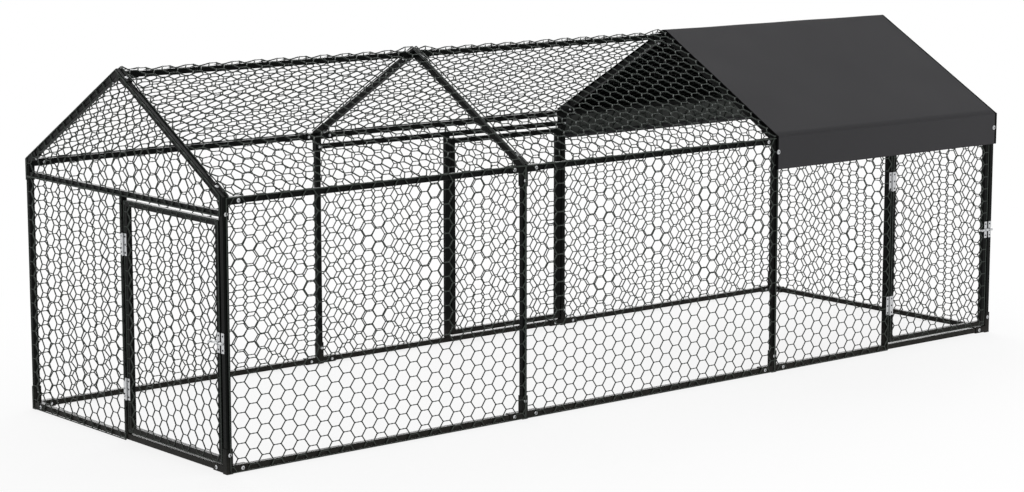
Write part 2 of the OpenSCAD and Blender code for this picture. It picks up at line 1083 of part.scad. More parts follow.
// A plate with the loop that the sliding bolt runs through, from its lower U
module looped_plate(u) {
    loop_d = rod_d + 2 * (rod_play + loop_wall);
    translate([u, 0, latch_z])
        difference() {
            union() {
                translate([0, half, -plate_h / 2])
                    cube([leaf_w, leaf_t, plate_h]);
                translate([0, half, -loop_d / 2])
                    cube([leaf_w, rod_n - half, loop_d]);
                translate([0, rod_n, 0])
                    along_x(1)
                        cylinder(d = loop_d, h = leaf_w);
            }
            translate([-over, rod_n, 0])
                along_x(1)
                    cylinder(d = rod_d + 2 * rod_play, h = leaf_w + 2 * over);
            for (z = plate_screw_zs)
                translate([leaf_w / 2, 0, z])
                    face_hole(screw_hole);
        }
}

module latch_keepers() {
    color(zinc)
        for (which = doors)
            at_door(which)
                looped_plate(keeper_u);
}

// A fastener whose tapered head is seated at a distance N out from the wall's middle plane
module headed_pin(seat, d, length, base_d, top_d, h) {
    along_y(1) {
        translate([0, 0, seat - length])
            cylinder(d = d, h = length + h / 2);
        translate([0, 0, seat])
            cylinder(d1 = base_d, d2 = top_d, h = h);
    }
}

module corner_rivet() {
    headed_pin(half, rivet_d, rivet_len, rivet_head_d, rivet_top_d, rivet_head_h);
}

module plate_screw() {
    headed_pin(half + leaf_t, screw_d, screw_len + leaf_t, screw_head_d, screw_top_d, screw_head_h);
}

module hardware_screws() {
    color(zinc)
        for (which = doors)
            at_door(which) {
                leaf_screw_places(-1)
                    plate_screw();
                for (z = plate_screw_zs)
                    translate([keeper_u + leaf_w / 2, 0, latch_z + z])
                        plate_screw();
            }
}

// Doors

// A tube between two mitred ends, its short side at +X, from outer corner to outer corner
module mitred_tube(length) {
    block = 4 * tube;
    difference() {
        tube_stock(length);
        translate([-half, 0, mitre_gap])
            rotate([0, -45, 0])
                translate([-block / 2, -block / 2, -block])
                    cube(block);
        translate([-half, 0, length - mitre_gap])
            rotate([0, 45, 0])
                translate([-block / 2, -block / 2, 0])
                    cube(block);
    }
}

// Places of the corner rivets: U way and Z way point from the corner into the door
module corner_places() {
    for (u_way = sides, z_way = sides)
        translate([
            u_way > 0 ? door_start + half : door_end - half, 0,
            z_way > 0 ? door_z0 + half : door_z1 - half
        ])
            mirror([u_way < 0 ? 1 : 0, 0, 0])
                mirror([0, 0, z_way < 0 ? 1 : 0])
                    children();
}

module door_frame(which) {
    color(coat)
        at_door(which)
            difference() {
                union() {
                    translate([door_start + half, 0, door_z0])
                        mitred_tube(door_h);
                    translate([door_end - half, 0, door_z0])
                        mirror([1, 0, 0])
                            mitred_tube(door_h);
                    translate([door_start, 0, door_z1 - half])
                        along_x(1)
                            mitred_tube(door_w);
                    translate([door_start, 0, door_z0 + half])
                        along_x(1)
                            mirror([1, 0, 0])
                                mitred_tube(door_w);
                }
                corner_places()
                    face_hole(rivet_d + 2 * bolt_play);
                leaf_screw_places(1)
                    face_hole(screw_hole);
                for (z = plate_screw_zs)
                    translate([plate_u + leaf_w / 2, 0, latch_z + z])
                        face_hole(screw_hole);
            }
}

module door_corner_keys(which) {
    color(rubber)
        at_door(which)
            corner_places()
                difference() {
                    union() {
                        translate([-spigot / 2, -spigot / 2, -spigot / 2])
                            cube([spigot / 2 + key_len, spigot, spigot]);
                        translate([-spigot / 2, -spigot / 2, -spigot / 2])
                            cube([spigot, spigot, spigot / 2 + key_len]);
                    }
                    translate([0, -sleeve_half, 0])
                        face_hole(rivet_d + 2 * bolt_play);
                }
}

module door_net(which) {
    lap = tube - net_lap;
    color(wire)
        at_door(which)
            translate([0, door_net_n + net_t, 0])
                rotate([90, 0, 0])
                    net_panel([door_start + lap, door_z0 + lap], [door_end - lap, door_z1 - lap]);
}

module door_latch_plate(which) {
    color(zinc)
        at_door(which)
            looped_plate(plate_u);
}

module door_screws(which) {
    color(zinc)
        at_door(which) {
            corner_places()
                corner_rivet();
            leaf_screw_places(1)
                plate_screw();
            for (z = plate_screw_zs)
                translate([plate_u + leaf_w / 2, 0, latch_z + z])
                    plate_screw();
        }
}

// The sliding bolt, drawn back clear of its keeper
module door_bolt(which) {
    color(zinc)
        at_door(which)
            translate([0, rod_n, latch_z]) {
                translate([knob_u - rod_d / 2, 0, 0])
                    along_x(1)
                        cylinder(d = rod_d, h = rod_tip - knob_u + rod_d / 2);
                translate([knob_u, 0, 0]) {
                    along_y(1)
                        cylinder(d = stem_d, h = knob_out);
                    translate([0, knob_out, 0])
                        sphere(d = knob_d);
                }
            }
}

module end_door_frame() {
    door_frame("end");
}

module end_door_corner_keys() {
    door_corner_keys("end");
}

module end_door_net() {
    door_net("end");
}

module end_door_hinge_leaves() {
    hinge_leaves("end", 1, [1, 3]);
}

module end_door_latch_plate() {
    door_latch_plate("end");
}

module end_door_screws() {
    door_screws("end");
}

module end_door_bolt() {
    door_bolt("end");
}

module rear_door_frame() {
    door_frame("rear");
}

module rear_door_corner_keys() {
    door_corner_keys("rear");
}

module rear_door_net() {
    door_net("rear");
}

module rear_door_hinge_leaves() {
    hinge_leaves("rear", 1, [1, 3]);
}

module rear_door_latch_plate() {
    door_latch_plate("rear");
}

module rear_door_screws() {
    door_screws("rear");
}

module rear_door_bolt() {
    door_bolt("rear");
}

module front_door_frame() {
    door_frame("front");
}

module front_door_corner_keys() {
    door_corner_keys("front");
}

module front_door_net() {
    door_net("front");
}

module front_door_hinge_leaves() {
    hinge_leaves("front", 1, [1, 3]);
}

module front_door_latch_plate() {
    door_latch_plate("front");
}

module front_door_screws() {
    door_screws("front");
}

module front_door_bolt() {
    door_bolt("front");
}

foot_caps();
base_corner_brackets();
base_tee_brackets();
eave_corner_brackets();
eave_tee_brackets();
ridge_end_brackets();
ridge_cross_brackets();
corner_posts();
middle_posts();
side_base_rails();
end_base_rails();
eave_rails();
ridge_rails();
rafters();
end_tie_rails();
door_header_rails();
door_jambs();
frame_bolts();
frame_nuts();
front_net_bay_1();
front_net_bay_2();
front_net_bay_3();
rear_net_bay_1();
rear_net_bay_2();
rear_net_bay_3();
front_roof_nets();
rear_roof_nets();
entrance_gable_net();
entrance_side_net();
closed_end_net();
cover_roof();
cover_front_flap();
cover_rear_flap();
cover_eyelets();
jamb_hinge_leaves();
hinge_pins();
latch_keepers();
hardware_screws();
end_door_frame();
end_door_corner_keys();
end_door_net();
end_door_hinge_leaves();
end_door_latch_plate();
end_door_screws();
end_door_bolt();
rear_door_frame();
rear_door_corner_keys();
rear_door_net();
rear_door_hinge_leaves();
rear_door_latch_plate();
rear_door_screws();
rear_door_bolt();
front_door_frame();
front_door_corner_keys();
front_door_net();
front_door_hinge_leaves();
front_door_latch_plate();
front_door_screws();
front_door_bolt();
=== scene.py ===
# %% [markdown]
# # A netted poultry run
# The run is a bolted frame of square tube, wrapped in hexagonal wire netting, with three doors and a
# sheet cover over its last bay. The tubes, sleeves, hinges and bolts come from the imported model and
# stay where they are. What is made here is what plain solids are poor at: thousands of twisted wires,
# a sheet that is pulled tight and hangs at its sides, and the finish of every surface.

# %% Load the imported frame
import json
import math

import bpy
import numpy as np
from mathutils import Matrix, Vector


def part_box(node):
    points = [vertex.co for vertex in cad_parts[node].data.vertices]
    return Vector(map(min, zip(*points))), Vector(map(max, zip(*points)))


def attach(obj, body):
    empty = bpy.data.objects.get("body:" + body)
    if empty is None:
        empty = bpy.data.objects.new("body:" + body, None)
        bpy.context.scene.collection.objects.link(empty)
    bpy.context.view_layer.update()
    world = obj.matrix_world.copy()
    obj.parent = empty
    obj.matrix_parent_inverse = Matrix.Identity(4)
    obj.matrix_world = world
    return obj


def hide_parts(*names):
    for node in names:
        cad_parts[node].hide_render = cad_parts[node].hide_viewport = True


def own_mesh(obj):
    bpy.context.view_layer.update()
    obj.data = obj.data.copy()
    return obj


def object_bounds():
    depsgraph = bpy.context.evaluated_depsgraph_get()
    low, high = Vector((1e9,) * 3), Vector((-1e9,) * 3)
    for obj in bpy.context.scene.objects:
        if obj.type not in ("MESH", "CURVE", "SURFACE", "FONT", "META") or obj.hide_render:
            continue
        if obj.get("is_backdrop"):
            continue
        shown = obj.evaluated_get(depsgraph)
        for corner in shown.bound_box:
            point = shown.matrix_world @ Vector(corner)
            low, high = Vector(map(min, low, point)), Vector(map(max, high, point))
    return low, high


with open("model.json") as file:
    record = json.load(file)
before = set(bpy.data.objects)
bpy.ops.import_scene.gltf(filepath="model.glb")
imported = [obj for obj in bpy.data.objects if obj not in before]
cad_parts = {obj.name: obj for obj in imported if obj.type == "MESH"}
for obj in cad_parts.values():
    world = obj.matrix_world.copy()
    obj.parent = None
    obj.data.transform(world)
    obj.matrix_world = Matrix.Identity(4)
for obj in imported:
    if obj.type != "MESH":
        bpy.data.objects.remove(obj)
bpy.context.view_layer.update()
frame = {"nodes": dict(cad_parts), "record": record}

# %% [markdown]
# Every piece below is placed from a few lines of the frame: the planes of the posts, the heights of the
# rails and the peak of the roof. They could be typed in, as the tube, its sleeve and the roof's pitch
# are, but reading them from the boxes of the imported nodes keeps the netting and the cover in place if
# the frame changes size.

# %% Read the frame lines
TUBE = 0.016
SLEEVE = 0.020
ROOF_PITCH = math.radians(30)

post_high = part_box("corner_posts")[1]
end_x = post_high.x - TUBE / 2
half_span = post_high.y - TUBE / 2
mid_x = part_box("middle_posts")[1].x - TUBE / 2
frame_xs = [-end_x, -mid_x, mid_x, end_x]
eave_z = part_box("eave_rails")[0].z + TUBE / 2
tie_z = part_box("end_tie_rails")[1].z - TUBE / 2
apex_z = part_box("ridge_end_brackets")[1].z - SLEEVE / 2 / math.cos(ROOF_PITCH)
rafter_len = half_span / math.cos(ROOF_PITCH)
rafter_eave_z = apex_z - half_span * math.tan(ROOF_PITCH)
print("frames at", [round(x, 3) for x in frame_xs], "eave", round(eave_z, 3), "apex", round(apex_z, 3))

# %% [markdown]
# The photograph looks down the run from beyond its entrance corner, through a long lens. The place and
# the heading were solved from the corners of the frame, so the camera is typed in as a place, a heading
# and a dip. A long lens from far off keeps the posts nearly plumb without any shift of the lens.

# %% Camera
CAMERA_PLACE = (-5.106, -6.007, 1.665)
CAMERA_HEADING = 50.349
CAMERA_DIP = 9.267
CAMERA_LENS = 91.95
CAMERA_SIGHT = 200

camera = bpy.data.objects.new("camera", bpy.data.cameras.new("camera"))
bpy.context.collection.objects.link(camera)
camera.location = CAMERA_PLACE
camera.rotation_euler = (math.radians(90 - CAMERA_DIP), 0, math.radians(CAMERA_HEADING - 90))
camera.data.lens = CAMERA_LENS
camera.data.clip_end = CAMERA_SIGHT
bpy.context.scene.camera = camera
print("camera at", CAMERA_PLACE)

# %% [markdown]
# Materials are built from nodes, and many of these nodes do small sums. A few helpers set them up: each
# value that they get is a link from another node or a plain number. The last one tells the rays that are
# seen, straight from the camera or in something shiny, from those that only carry light about.

# %% Node helpers
def feed(tree, value, socket):
    """Links a value to a socket, or sets it there if it is a plain number or colour."""
    if isinstance(value, bpy.types.NodeSocket):
        tree.links.new(value, socket)
    else:
        socket.default_value = value


def math_node(tree, operation, *values):
    """The result of a Math node on one to three values."""
    node = tree.nodes.new("ShaderNodeMath")
    node.operation = operation
    for value, socket in zip(values, node.inputs):
        feed(tree, value, socket)
    return node.outputs["Value"]


def map_range(tree, value, *ends, kind="LINEAR"):
    """A value carried from one range to another, by the two ends of each."""
    node = tree.nodes.new("ShaderNodeMapRange")
    node.interpolation_type = kind
    for name, end in zip(("Value", "From Min", "From Max", "To Min", "To Max"), (value, *ends)):
        feed(tree, end, node.inputs[name])
    return node.outputs["Result"]


def shown_rays(tree):
    """A value of 1 for rays from the camera, from a shiny surface or through glass, and else 0."""
    path = tree.nodes.new("ShaderNodeLightPath").outputs
    seen = math_node(tree, "MAXIMUM", path["Is Camera Ray"], path["Is Glossy Ray"])
    return math_node(tree, "MAXIMUM", seen, path["Is Transmission Ray"])


print("node helpers are ready")

# %% [markdown]
# The studio is a wide pale floor under a pale sky. A floor that is only bright would need strong lamps,
# which would wash out the object. So the floor glows for the rays that are seen, and is a plain matt
# surface for all others. Close to the run its matt share is larger, so that it takes the shadow.

# %% Studio floor
FLOOR_SIZE = 120
FLOOR_TONE = 0.86
GLOW_NEAR = 0.84
NEAR_REACH = 0.7
FAR_REACH = 2.2
RUN_STRETCH = (0.5, 1.0, 0.0)

floor_paint = bpy.data.materials.new("studio_floor")
floor_paint.use_nodes = True
tree = floor_paint.node_tree
tree.nodes.clear()
matt = tree.nodes.new("ShaderNodeBsdfDiffuse")
matt.inputs["Color"].default_value = (FLOOR_TONE, FLOOR_TONE, FLOOR_TONE, 1)
glow = tree.nodes.new("ShaderNodeEmission")
spot = tree.nodes.new("ShaderNodeNewGeometry")
oval = tree.nodes.new("ShaderNodeVectorMath")
oval.operation = "MULTIPLY"
oval.inputs[1].default_value = RUN_STRETCH
tree.links.new(spot.outputs["Position"], oval.inputs[0])
reach = tree.nodes.new("ShaderNodeVectorMath")
reach.operation = "LENGTH"
tree.links.new(oval.outputs["Vector"], reach.inputs[0])
fade = map_range(tree, reach.outputs["Value"], NEAR_REACH, FAR_REACH, GLOW_NEAR, 1.0, kind="SMOOTHSTEP")
mixed = tree.nodes.new("ShaderNodeMixShader")
tree.links.new(math_node(tree, "MULTIPLY", shown_rays(tree), fade), mixed.inputs["Fac"])
tree.links.new(matt.outputs["BSDF"], mixed.inputs[1])
tree.links.new(glow.outputs["Emission"], mixed.inputs[2])
result = tree.nodes.new("ShaderNodeOutputMaterial")
tree.links.new(mixed.outputs["Shader"], result.inputs["Surface"])

bpy.ops.mesh.primitive_plane_add(size=FLOOR_SIZE, location=(0, 0, 0))
floor = bpy.context.object
floor.name = "floor"
floor.data.materials.append(floor_paint)
floor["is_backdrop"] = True
print("floor of", FLOOR_SIZE, "m")

# %% [markdown]
# The sky is the world's background. It works as the floor does: full white where it is seen, and weaker
# where it only lights the run, so that colours come out about as they are written. The Standard view
# transform keeps them so in the picture.

# %% Studio sky
SKY_LIGHT = 0.55

world = bpy.data.worlds.new("sky")
bpy.context.scene.world = world
world.use_nodes = True
tree = world.node_tree
sky = tree.nodes["Background"].inputs
sky["Color"].default_value = (1, 1, 1, 1)
tree.links.new(math_node(tree, "MULTIPLY_ADD", shown_rays(tree), 1 - SKY_LIGHT, SKY_LIGHT), sky["Strength"])
bpy.context.scene.view_settings.view_transform = "Standard"
print("sky lights the run at", SKY_LIGHT)

# %% [markdown]
# Large soft lamps do what a product studio does. Two in front light the faces, the right one more than
# the left. Three wide ones above and behind stand for the bright ceiling and walls of the studio: they
# light the roof and give the tubes and wires a soft pale edge. The two in front aren't mirrored, because
# they would leave a bright streak on each tube. Each lamp is aimed at the middle of the run.

# %% Lamps
AIM = (0.0, 0.0, 0.45)
LAMPS = {
    "left_front_lamp": {"place": (-5.6, -3.6, 3.9), "size": (2.0, 2.0), "watts": 45, "mirrored": False},
    "right_front_lamp": {"place": (3.6, -4.2, 2.0), "size": (2.5, 2.5), "watts": 100, "mirrored": False},
    "top_lamp": {"place": (2.4, 4.0, 5.2), "size": (6.0, 4.0), "watts": 230, "mirrored": True},
    "right_back_lamp": {"place": (4.8, 5.8, 2.1), "size": (8.0, 4.0), "watts": 300, "mirrored": True},
    "left_back_lamp": {"place": (-5.5, 5.5, 1.6), "size": (5.0, 3.0), "watts": 40, "mirrored": True},
}

for name, lamp in LAMPS.items():
    light = bpy.data.lights.new(name, "AREA")
    light.shape = "RECTANGLE"
    light.size, light.size_y = lamp["size"]
    light.energy = lamp["watts"]
    holder = bpy.data.objects.new(name, light)
    bpy.context.collection.objects.link(holder)
    holder.location = lamp["place"]
    holder.visible_camera = False
    holder.visible_glossy = lamp["mirrored"]
    aim_x, aim_y, aim_z = np.array(AIM) - np.array(lamp["place"])
    tilt = math.atan2(math.hypot(aim_x, aim_y), -aim_z)
    holder.rotation_euler = (tilt, 0, math.atan2(-aim_x, aim_y))
print("lamps:", len(LAMPS))

# %% [markdown]
# Coats, plating and plastic all share one thing: they are never quite even. One node group gives that to
# each material. It blends two tones and two degrees of roughness by a broad cloud, and makes a height
# from a fine grain. A material could hold its own copy of these nodes, but a group keeps one set that
# each material places with its own numbers.

# %% Shared unevenness
CLOUD_DETAIL = 4
GRAIN_DETAIL = 2
CLOUD_LOW = 0.3
CLOUD_HIGH = 0.7
COLOUR = "NodeSocketColor"
VALUE = "NodeSocketFloat"


def new_group(name, inputs, outputs):
    """A shader node group with named sockets, then what it is given and what it has to fill."""
    tree = bpy.data.node_groups.new(name, "ShaderNodeTree")
    for way, sockets in (("INPUT", inputs), ("OUTPUT", outputs)):
        for socket, kind in sockets.items():
            tree.interface.new_socket(name=socket, in_out=way, socket_type=kind)
    return tree, tree.nodes.new("NodeGroupInput").outputs, tree.nodes.new("NodeGroupOutput").inputs


def noise(tree, place, scale, detail):
    """A noise texture over the given coordinates."""
    node = tree.nodes.new("ShaderNodeTexNoise")
    node.inputs["Detail"].default_value = detail
    tree.links.new(place, node.inputs["Vector"])
    feed(tree, scale, node.inputs["Scale"])
    return node.outputs["Fac"]


def mix_tones(tree, share, first, second, kind="MIX"):
    """The colour that a Mix node makes from two tones."""
    node = tree.nodes.new("ShaderNodeMix")
    node.data_type = "RGBA"
    node.blend_type = kind
    for value, name in ((share, "Factor"), (first, "A"), (second, "B")):
        feed(tree, value, node.inputs[name])
    return node.outputs["Result"]


uneven, given, made = new_group(
    "uneven_finish",
    {"Dark": COLOUR, "Light": COLOUR, "Cloud Scale": VALUE, "Grain Scale": VALUE,
     "Rough Low": VALUE, "Rough High": VALUE},
    {"Color": COLOUR, "Roughness": VALUE, "Height": VALUE})
place = uneven.nodes.new("ShaderNodeTexCoord").outputs["Object"]
cloud = noise(uneven, place, given["Cloud Scale"], CLOUD_DETAIL)
grain = noise(uneven, place, given["Grain Scale"], GRAIN_DETAIL)
rough = map_range(uneven, cloud, CLOUD_LOW, CLOUD_HIGH, given["Rough Low"], given["Rough High"])
uneven.links.new(mix_tones(uneven, cloud, given["Dark"], given["Light"]), made["Color"])
uneven.links.new(rough, made["Roughness"])
uneven.links.new(grain, made["Height"])
print("group:", uneven.name)

# %% [markdown]
# A run stands on the ground, so a little dry dust settles on the lowest few centimetres of its tubes and
# wires. A second group turns height above the ground into a mask that fades out upward and is broken up
# by noise. It is subtle, because the run in the photograph is new.

# %% Shared ground dust
DUST_PATCHES = 60

dust, given, made = new_group("ground_dust", {"Reach": VALUE, "Amount": VALUE}, {"Mask": VALUE})
place = dust.nodes.new("ShaderNodeTexCoord").outputs["Object"]
parts = dust.nodes.new("ShaderNodeSeparateXYZ")
dust.links.new(place, parts.inputs["Vector"])
fade = map_range(dust, parts.outputs["Z"], 0, given["Reach"], 1, 0)
broken = math_node(dust, "MULTIPLY", fade, noise(dust, place, DUST_PATCHES, GRAIN_DETAIL))
dust.links.new(math_node(dust, "MULTIPLY", broken, given["Amount"]), made["Mask"])
print("group:", dust.name)

# %% [markdown]
# A finish puts these groups together with a shader. The tone, the roughness and the fine relief change
# over the surface, so they come from the groups. Numbers that are the same all over a surface, such as
# its metal or its shine, are set on the shader itself.

# %% One way to finish a surface
DUST_COLOUR = (0.11, 0.10, 0.085, 1)
DUST_REACH = 0.09
GRAIN_DEPTH = 0.0004


def place_group(tree, group, values):
    """Places a group in a material with its own values, and gives what it puts out."""
    node = tree.nodes.new("ShaderNodeGroup")
    node.node_tree = group
    for name, value in values.items():
        node.inputs[name].default_value = value
    return node.outputs


def relief(tree, height, strength, depth, under=None):
    """The normal of a fine relief, which may lie on another one."""
    node = tree.nodes.new("ShaderNodeBump")
    node.inputs["Strength"].default_value = strength
    node.inputs["Distance"].default_value = depth
    tree.links.new(height, node.inputs["Height"])
    if under is not None:
        tree.links.new(under, node.inputs["Normal"])
    return node.outputs["Normal"]


def finish(name, dark, light, cloud, grain, rough, bump, shine, metal=0.0, dusty=0.0):
    """A material with uneven tone, roughness and grain, and a share of ground dust."""
    material = bpy.data.materials.new(name)
    material.use_nodes = True
    tree = material.node_tree
    shader = tree.nodes["Principled BSDF"].inputs
    shader["Specular IOR Level"].default_value = shine
    shader["Metallic"].default_value = metal
    surface = place_group(tree, uneven, {
        "Dark": (*dark, 1), "Light": (*light, 1), "Cloud Scale": cloud, "Grain Scale": grain,
        "Rough Low": rough[0], "Rough High": rough[1]})
    colour = surface["Color"]
    if dusty:
        mask = place_group(tree, dust, {"Reach": DUST_REACH, "Amount": dusty})["Mask"]
        colour = mix_tones(tree, mask, colour, DUST_COLOUR)
    tree.links.new(colour, shader["Base Color"])
    tree.links.new(surface["Roughness"], shader["Roughness"])
    tree.links.new(relief(tree, surface["Height"], bump, GRAIN_DEPTH), shader["Normal"])
    return material


print("dust reaches up to", DUST_REACH, "m")

# %% [markdown]
# Six finishes are made this way: the black powder coat of the tubes, the bright zinc of the bolts and
# hinges, the darker steel of the small screws and rivets, which also paints the shade in the bolt recesses,
# the coated wire with its grey bloom, the same wire under the cover painted near black as the cover's
# shade, and the plastic of the feet and corner keys. Each is one call with its own tones. Then each
# imported node gets the finish of its slot in the record, apart from the cover's sheets, which are made
# further down.

# %% Coat, zinc, steel, wire and plastic
powder_coat = finish(
    "black_powder_coat", (0.0020, 0.0026, 0.0023), (0.0048, 0.0057, 0.0052),
    cloud=9, grain=900, rough=(0.3, 0.42), bump=0.35, shine=0.06, dusty=0.3)
bright_zinc = finish(
    "bright_zinc", (0.46, 0.47, 0.48), (0.64, 0.65, 0.66),
    cloud=120, grain=1500, rough=(0.24, 0.42), bump=0.15, shine=0.5, metal=1.0)
# Dark steel of the small screws, also used as painted shade in the bolt recesses.
dark_steel_and_shade = finish(
    "dark_steel_and_shade", (0.018, 0.018, 0.019), (0.04, 0.04, 0.042),
    cloud=150, grain=1500, rough=(0.3, 0.45), bump=0.15, shine=0.5, metal=1.0)
coated_wire = finish(
    "coated_wire", (0.034, 0.041, 0.036), (0.058, 0.067, 0.060),
    cloud=70, grain=1200, rough=(0.34, 0.46), bump=0.03, shine=0.07, dusty=0.2)
# Painted shade: the wire under the cover is made near black for the shade that the sheet casts on it.
painted_shade_wire = finish(
    "painted_shade_wire", (0.003, 0.0035, 0.003), (0.006, 0.007, 0.0065),
    cloud=70, grain=1200, rough=(0.2, 0.3), bump=0.03, shine=0.04)
black_plastic = finish(
    "moulded_plastic", (0.006, 0.006, 0.006), (0.011, 0.011, 0.011),
    cloud=25, grain=700, rough=(0.5, 0.65), bump=0.4, shine=0.3, dusty=0.5)

SLOT_FINISH = {
    "frame_coat": powder_coat, "zinc_hardware": bright_zinc, "net_wire": coated_wire,
    "black_plastic": black_plastic,
}
painted = 0
for part in frame["record"]["subparts"]:
    if part["material_slot"] in SLOT_FINISH:
        small = part["node"].endswith("screws")
        for slot in frame["nodes"][part["node"]].material_slots:
            slot.material = dark_steel_and_shade if small else SLOT_FINISH[part["material_slot"]]
            painted += 1
print("painted", painted, "nodes")

# %% [markdown]
# The frame bolts have pan heads with a cross recess for a driver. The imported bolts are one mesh, so its
# separate bolts are found first: points that share an edge belong together, and each pass over the edges
# hands the lowest label on until nothing changes. A bolt is longest along its own axis, and its head is
# where it is widest.

# %% Find the bolt heads
MERGE_GRID = 1e-5


def separate_bolts(mesh):
    """The points of each bolt in a mesh that holds many."""
    points = np.array([v.co for v in mesh.vertices])
    same = np.unique(np.round(points / MERGE_GRID).astype(int), axis=0, return_inverse=True)[1].ravel()
    edges = same[np.array([e.vertices for e in mesh.edges])]
    label = np.arange(same.max() + 1)
    while True:
        lowest = label.copy()
        np.minimum.at(lowest, edges[:, 0], label[edges[:, 1]])
        np.minimum.at(lowest, edges[:, 1], label[edges[:, 0]])
        lowest = lowest[lowest]
        if np.array_equal(lowest, label):
            return [points[label[same] == k] for k in np.unique(label)]
        label = lowest


def head_of(points):
    """The middle of a bolt's head and the direction that the head faces."""
    middle = points.mean(0)
    axis = np.linalg.svd(points - middle)[2][0]
    reach = (points - middle) @ axis
    width = np.linalg.norm(points - middle - reach[:, None] * axis, axis=1)
    way = np.sign(reach[width.argmax()])
    return middle + axis * way * (reach * way).max(), axis * way


bolts = separate_bolts(frame["nodes"]["frame_bolts"].data)
print("bolts:", len(bolts))

# %% [markdown]
# From a few metres the recess is just a spot of shade that breaks up the bright head, but without it the
# heads look like pearls. The imported bolts stay as they are, so a thin cross of painted shade is laid on
# each head. A seeded generator turns each cross its own way, as a driver leaves them.

# %% Cross recesses of the bolts
CROSS_REACH = 0.0029
CROSS_HALF = 0.0008
CROSS_SINK = 0.0008
CROSS_PROUD = 0.0001
CROSS_CORNERS = 12
UPRIGHT = 0.9
SPIN_SEED = 5


def cross_prism(top, axis, spin):
    """Points of a cross on a head: its twelve corners below, then above."""
    start = np.cross(axis, (0, 0, 1) if abs(axis[2]) < UPRIGHT else (1, 0, 0))
    start /= np.linalg.norm(start)
    other = np.cross(axis, start)
    arm = [(CROSS_REACH, -CROSS_HALF), (CROSS_REACH, CROSS_HALF), (CROSS_HALF, CROSS_HALF)]
    corners = []
    for quarter in range(4):
        turn = spin + quarter * math.pi / 2
        c, s = math.cos(turn), math.sin(turn)
        corners += [(c * u - s * v) * start + (s * u + c * v) * other for u, v in arm]
    corners = np.array(corners)
    return np.concatenate([top - CROSS_SINK * axis + corners, top + CROSS_PROUD * axis + corners])


def new_piece(name, points, faces, finishes):
    """A new mesh object with its finishes, linked to the scene."""
    mesh = bpy.data.meshes.new(name)
    mesh.from_pydata(points.tolist(), [], faces)
    for material in finishes:
        mesh.materials.append(material)
    piece = bpy.data.objects.new(name, mesh)
    bpy.context.collection.objects.link(piece)
    return piece


spins = np.random.default_rng(SPIN_SEED)
points, faces = [], []
for k, bolt in enumerate(bolts):
    top, axis = head_of(bolt)
    points.append(cross_prism(top, axis, spins.uniform(0, math.pi / 2)))
    low = 2 * CROSS_CORNERS * k + np.arange(CROSS_CORNERS)
    high = low + CROSS_CORNERS
    around = np.stack([low, np.roll(low, -1), np.roll(high, -1), high], 1)
    faces += around.tolist() + [low[::-1].tolist(), high.tolist()]
# Painted shade: each cross is a dark prism that stands for the shade in the head's recess.
recesses = new_piece("painted_recess_shade", np.concatenate(points), faces, [dark_steel_and_shade])
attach(recesses, "frame")
print("cross recesses:", len(points))

# %% [markdown]
# Hexagonal netting is woven from wires that run side by side. Each wire twists with the neighbour above
# it, slants away, twists with the neighbour below, and so on, which leaves a six-sided gap between the
# twists. A texture with holes would look flat at the ridge, where the wires stand against the sky, so
# every wire is a real tube here. First come the sizes of the cells, from column to column and along a
# twist, and the tube builder, which joins rings of six points into closed tubes.

# %% Wire and tubes
ROW = 0.040
WIRE_R = 0.00178
SIDES = 6
CELLS = {"wall": (0.0373, 0.0246), "end": (0.0365, 0.0240), "door": (0.0346, 0.0222)}


def tube_faces(tubes, rings, start):
    """The faces of closed tubes whose points follow each other ring by ring: walls, then ends."""
    ring = np.arange(SIDES)
    after = (ring + 1) % SIDES
    wall = np.concatenate([
        np.stack([ring + k * SIDES, after + k * SIDES, after + (k + 1) * SIDES, ring + (k + 1) * SIDES], 1)
        for k in range(rings - 1)])
    ends = np.array([ring[::-1], ring + (rings - 1) * SIDES])
    offsets = (start + np.arange(tubes) * rings * SIDES)[:, None, None]
    return (offsets + wall).reshape(-1, 4).tolist() + (offsets + ends).reshape(-1, SIDES).tolist()


def ring_points(middles, across):
    """Points of the rings round the middles: across the wire, and out of the wall."""
    out = np.zeros_like(across)
    out[..., 2] = np.linalg.norm(across, axis=-1)
    turns = np.arange(SIDES) * 2 * math.pi / SIDES
    return middles[:, :, None, :] + np.stack([across * math.cos(a) + out * math.sin(a) for a in turns], 2)


def straight_wires(starts, ends):
    """Tubes from each start to each end, both flat on the wall."""
    along = ends - starts
    length = np.linalg.norm(along, axis=1, keepdims=True)
    across = np.stack([-along[:, 1], along[:, 0], np.zeros(len(along))], 1) / length * WIRE_R
    middles = np.zeros((len(starts), 2, 3))
    middles[..., :2] = np.stack([starts, ends], 1)
    return ring_points(middles, np.repeat(across[:, None], 2, 1))


print("rows every", ROW, "m, wire", 2 * WIRE_R, "m thick")

# %% [markdown]
# A net is cut to the outline of its panel. Each wire piece is clipped by the straight sides of that
# outline, which have to turn left all the way round. Pieces that fall on a hinge leaf or a latch plate
# are left out, because the net is trimmed there. The finished net could be cut with a Boolean, but that
# is slow for thousands of tubes, and lines that are cut before they become tubes keep clean ends.

# %% Cut a net to its outline
LEAST_SHARE = 0.04


def clipped(starts, ends, outline):
    """The share of each piece, from 0 to 1, at which it enters and leaves the outline."""
    enter = np.zeros(len(starts))
    leave = np.ones(len(starts))
    along = ends - starts
    for a, b in zip(outline, np.roll(outline, -1, 0)):
        inward = np.array([a[1] - b[1], b[0] - a[0]])
        depth = (starts - a) @ inward
        rate = along @ inward
        crossing = -depth / np.where(rate == 0, 1, rate)
        enter = np.where(rate > 0, np.maximum(enter, crossing), enter)
        leave = np.where(rate < 0, np.minimum(leave, crossing), leave)
        leave = np.where((rate == 0) & (depth < 0), -1, leave)
    return enter, leave


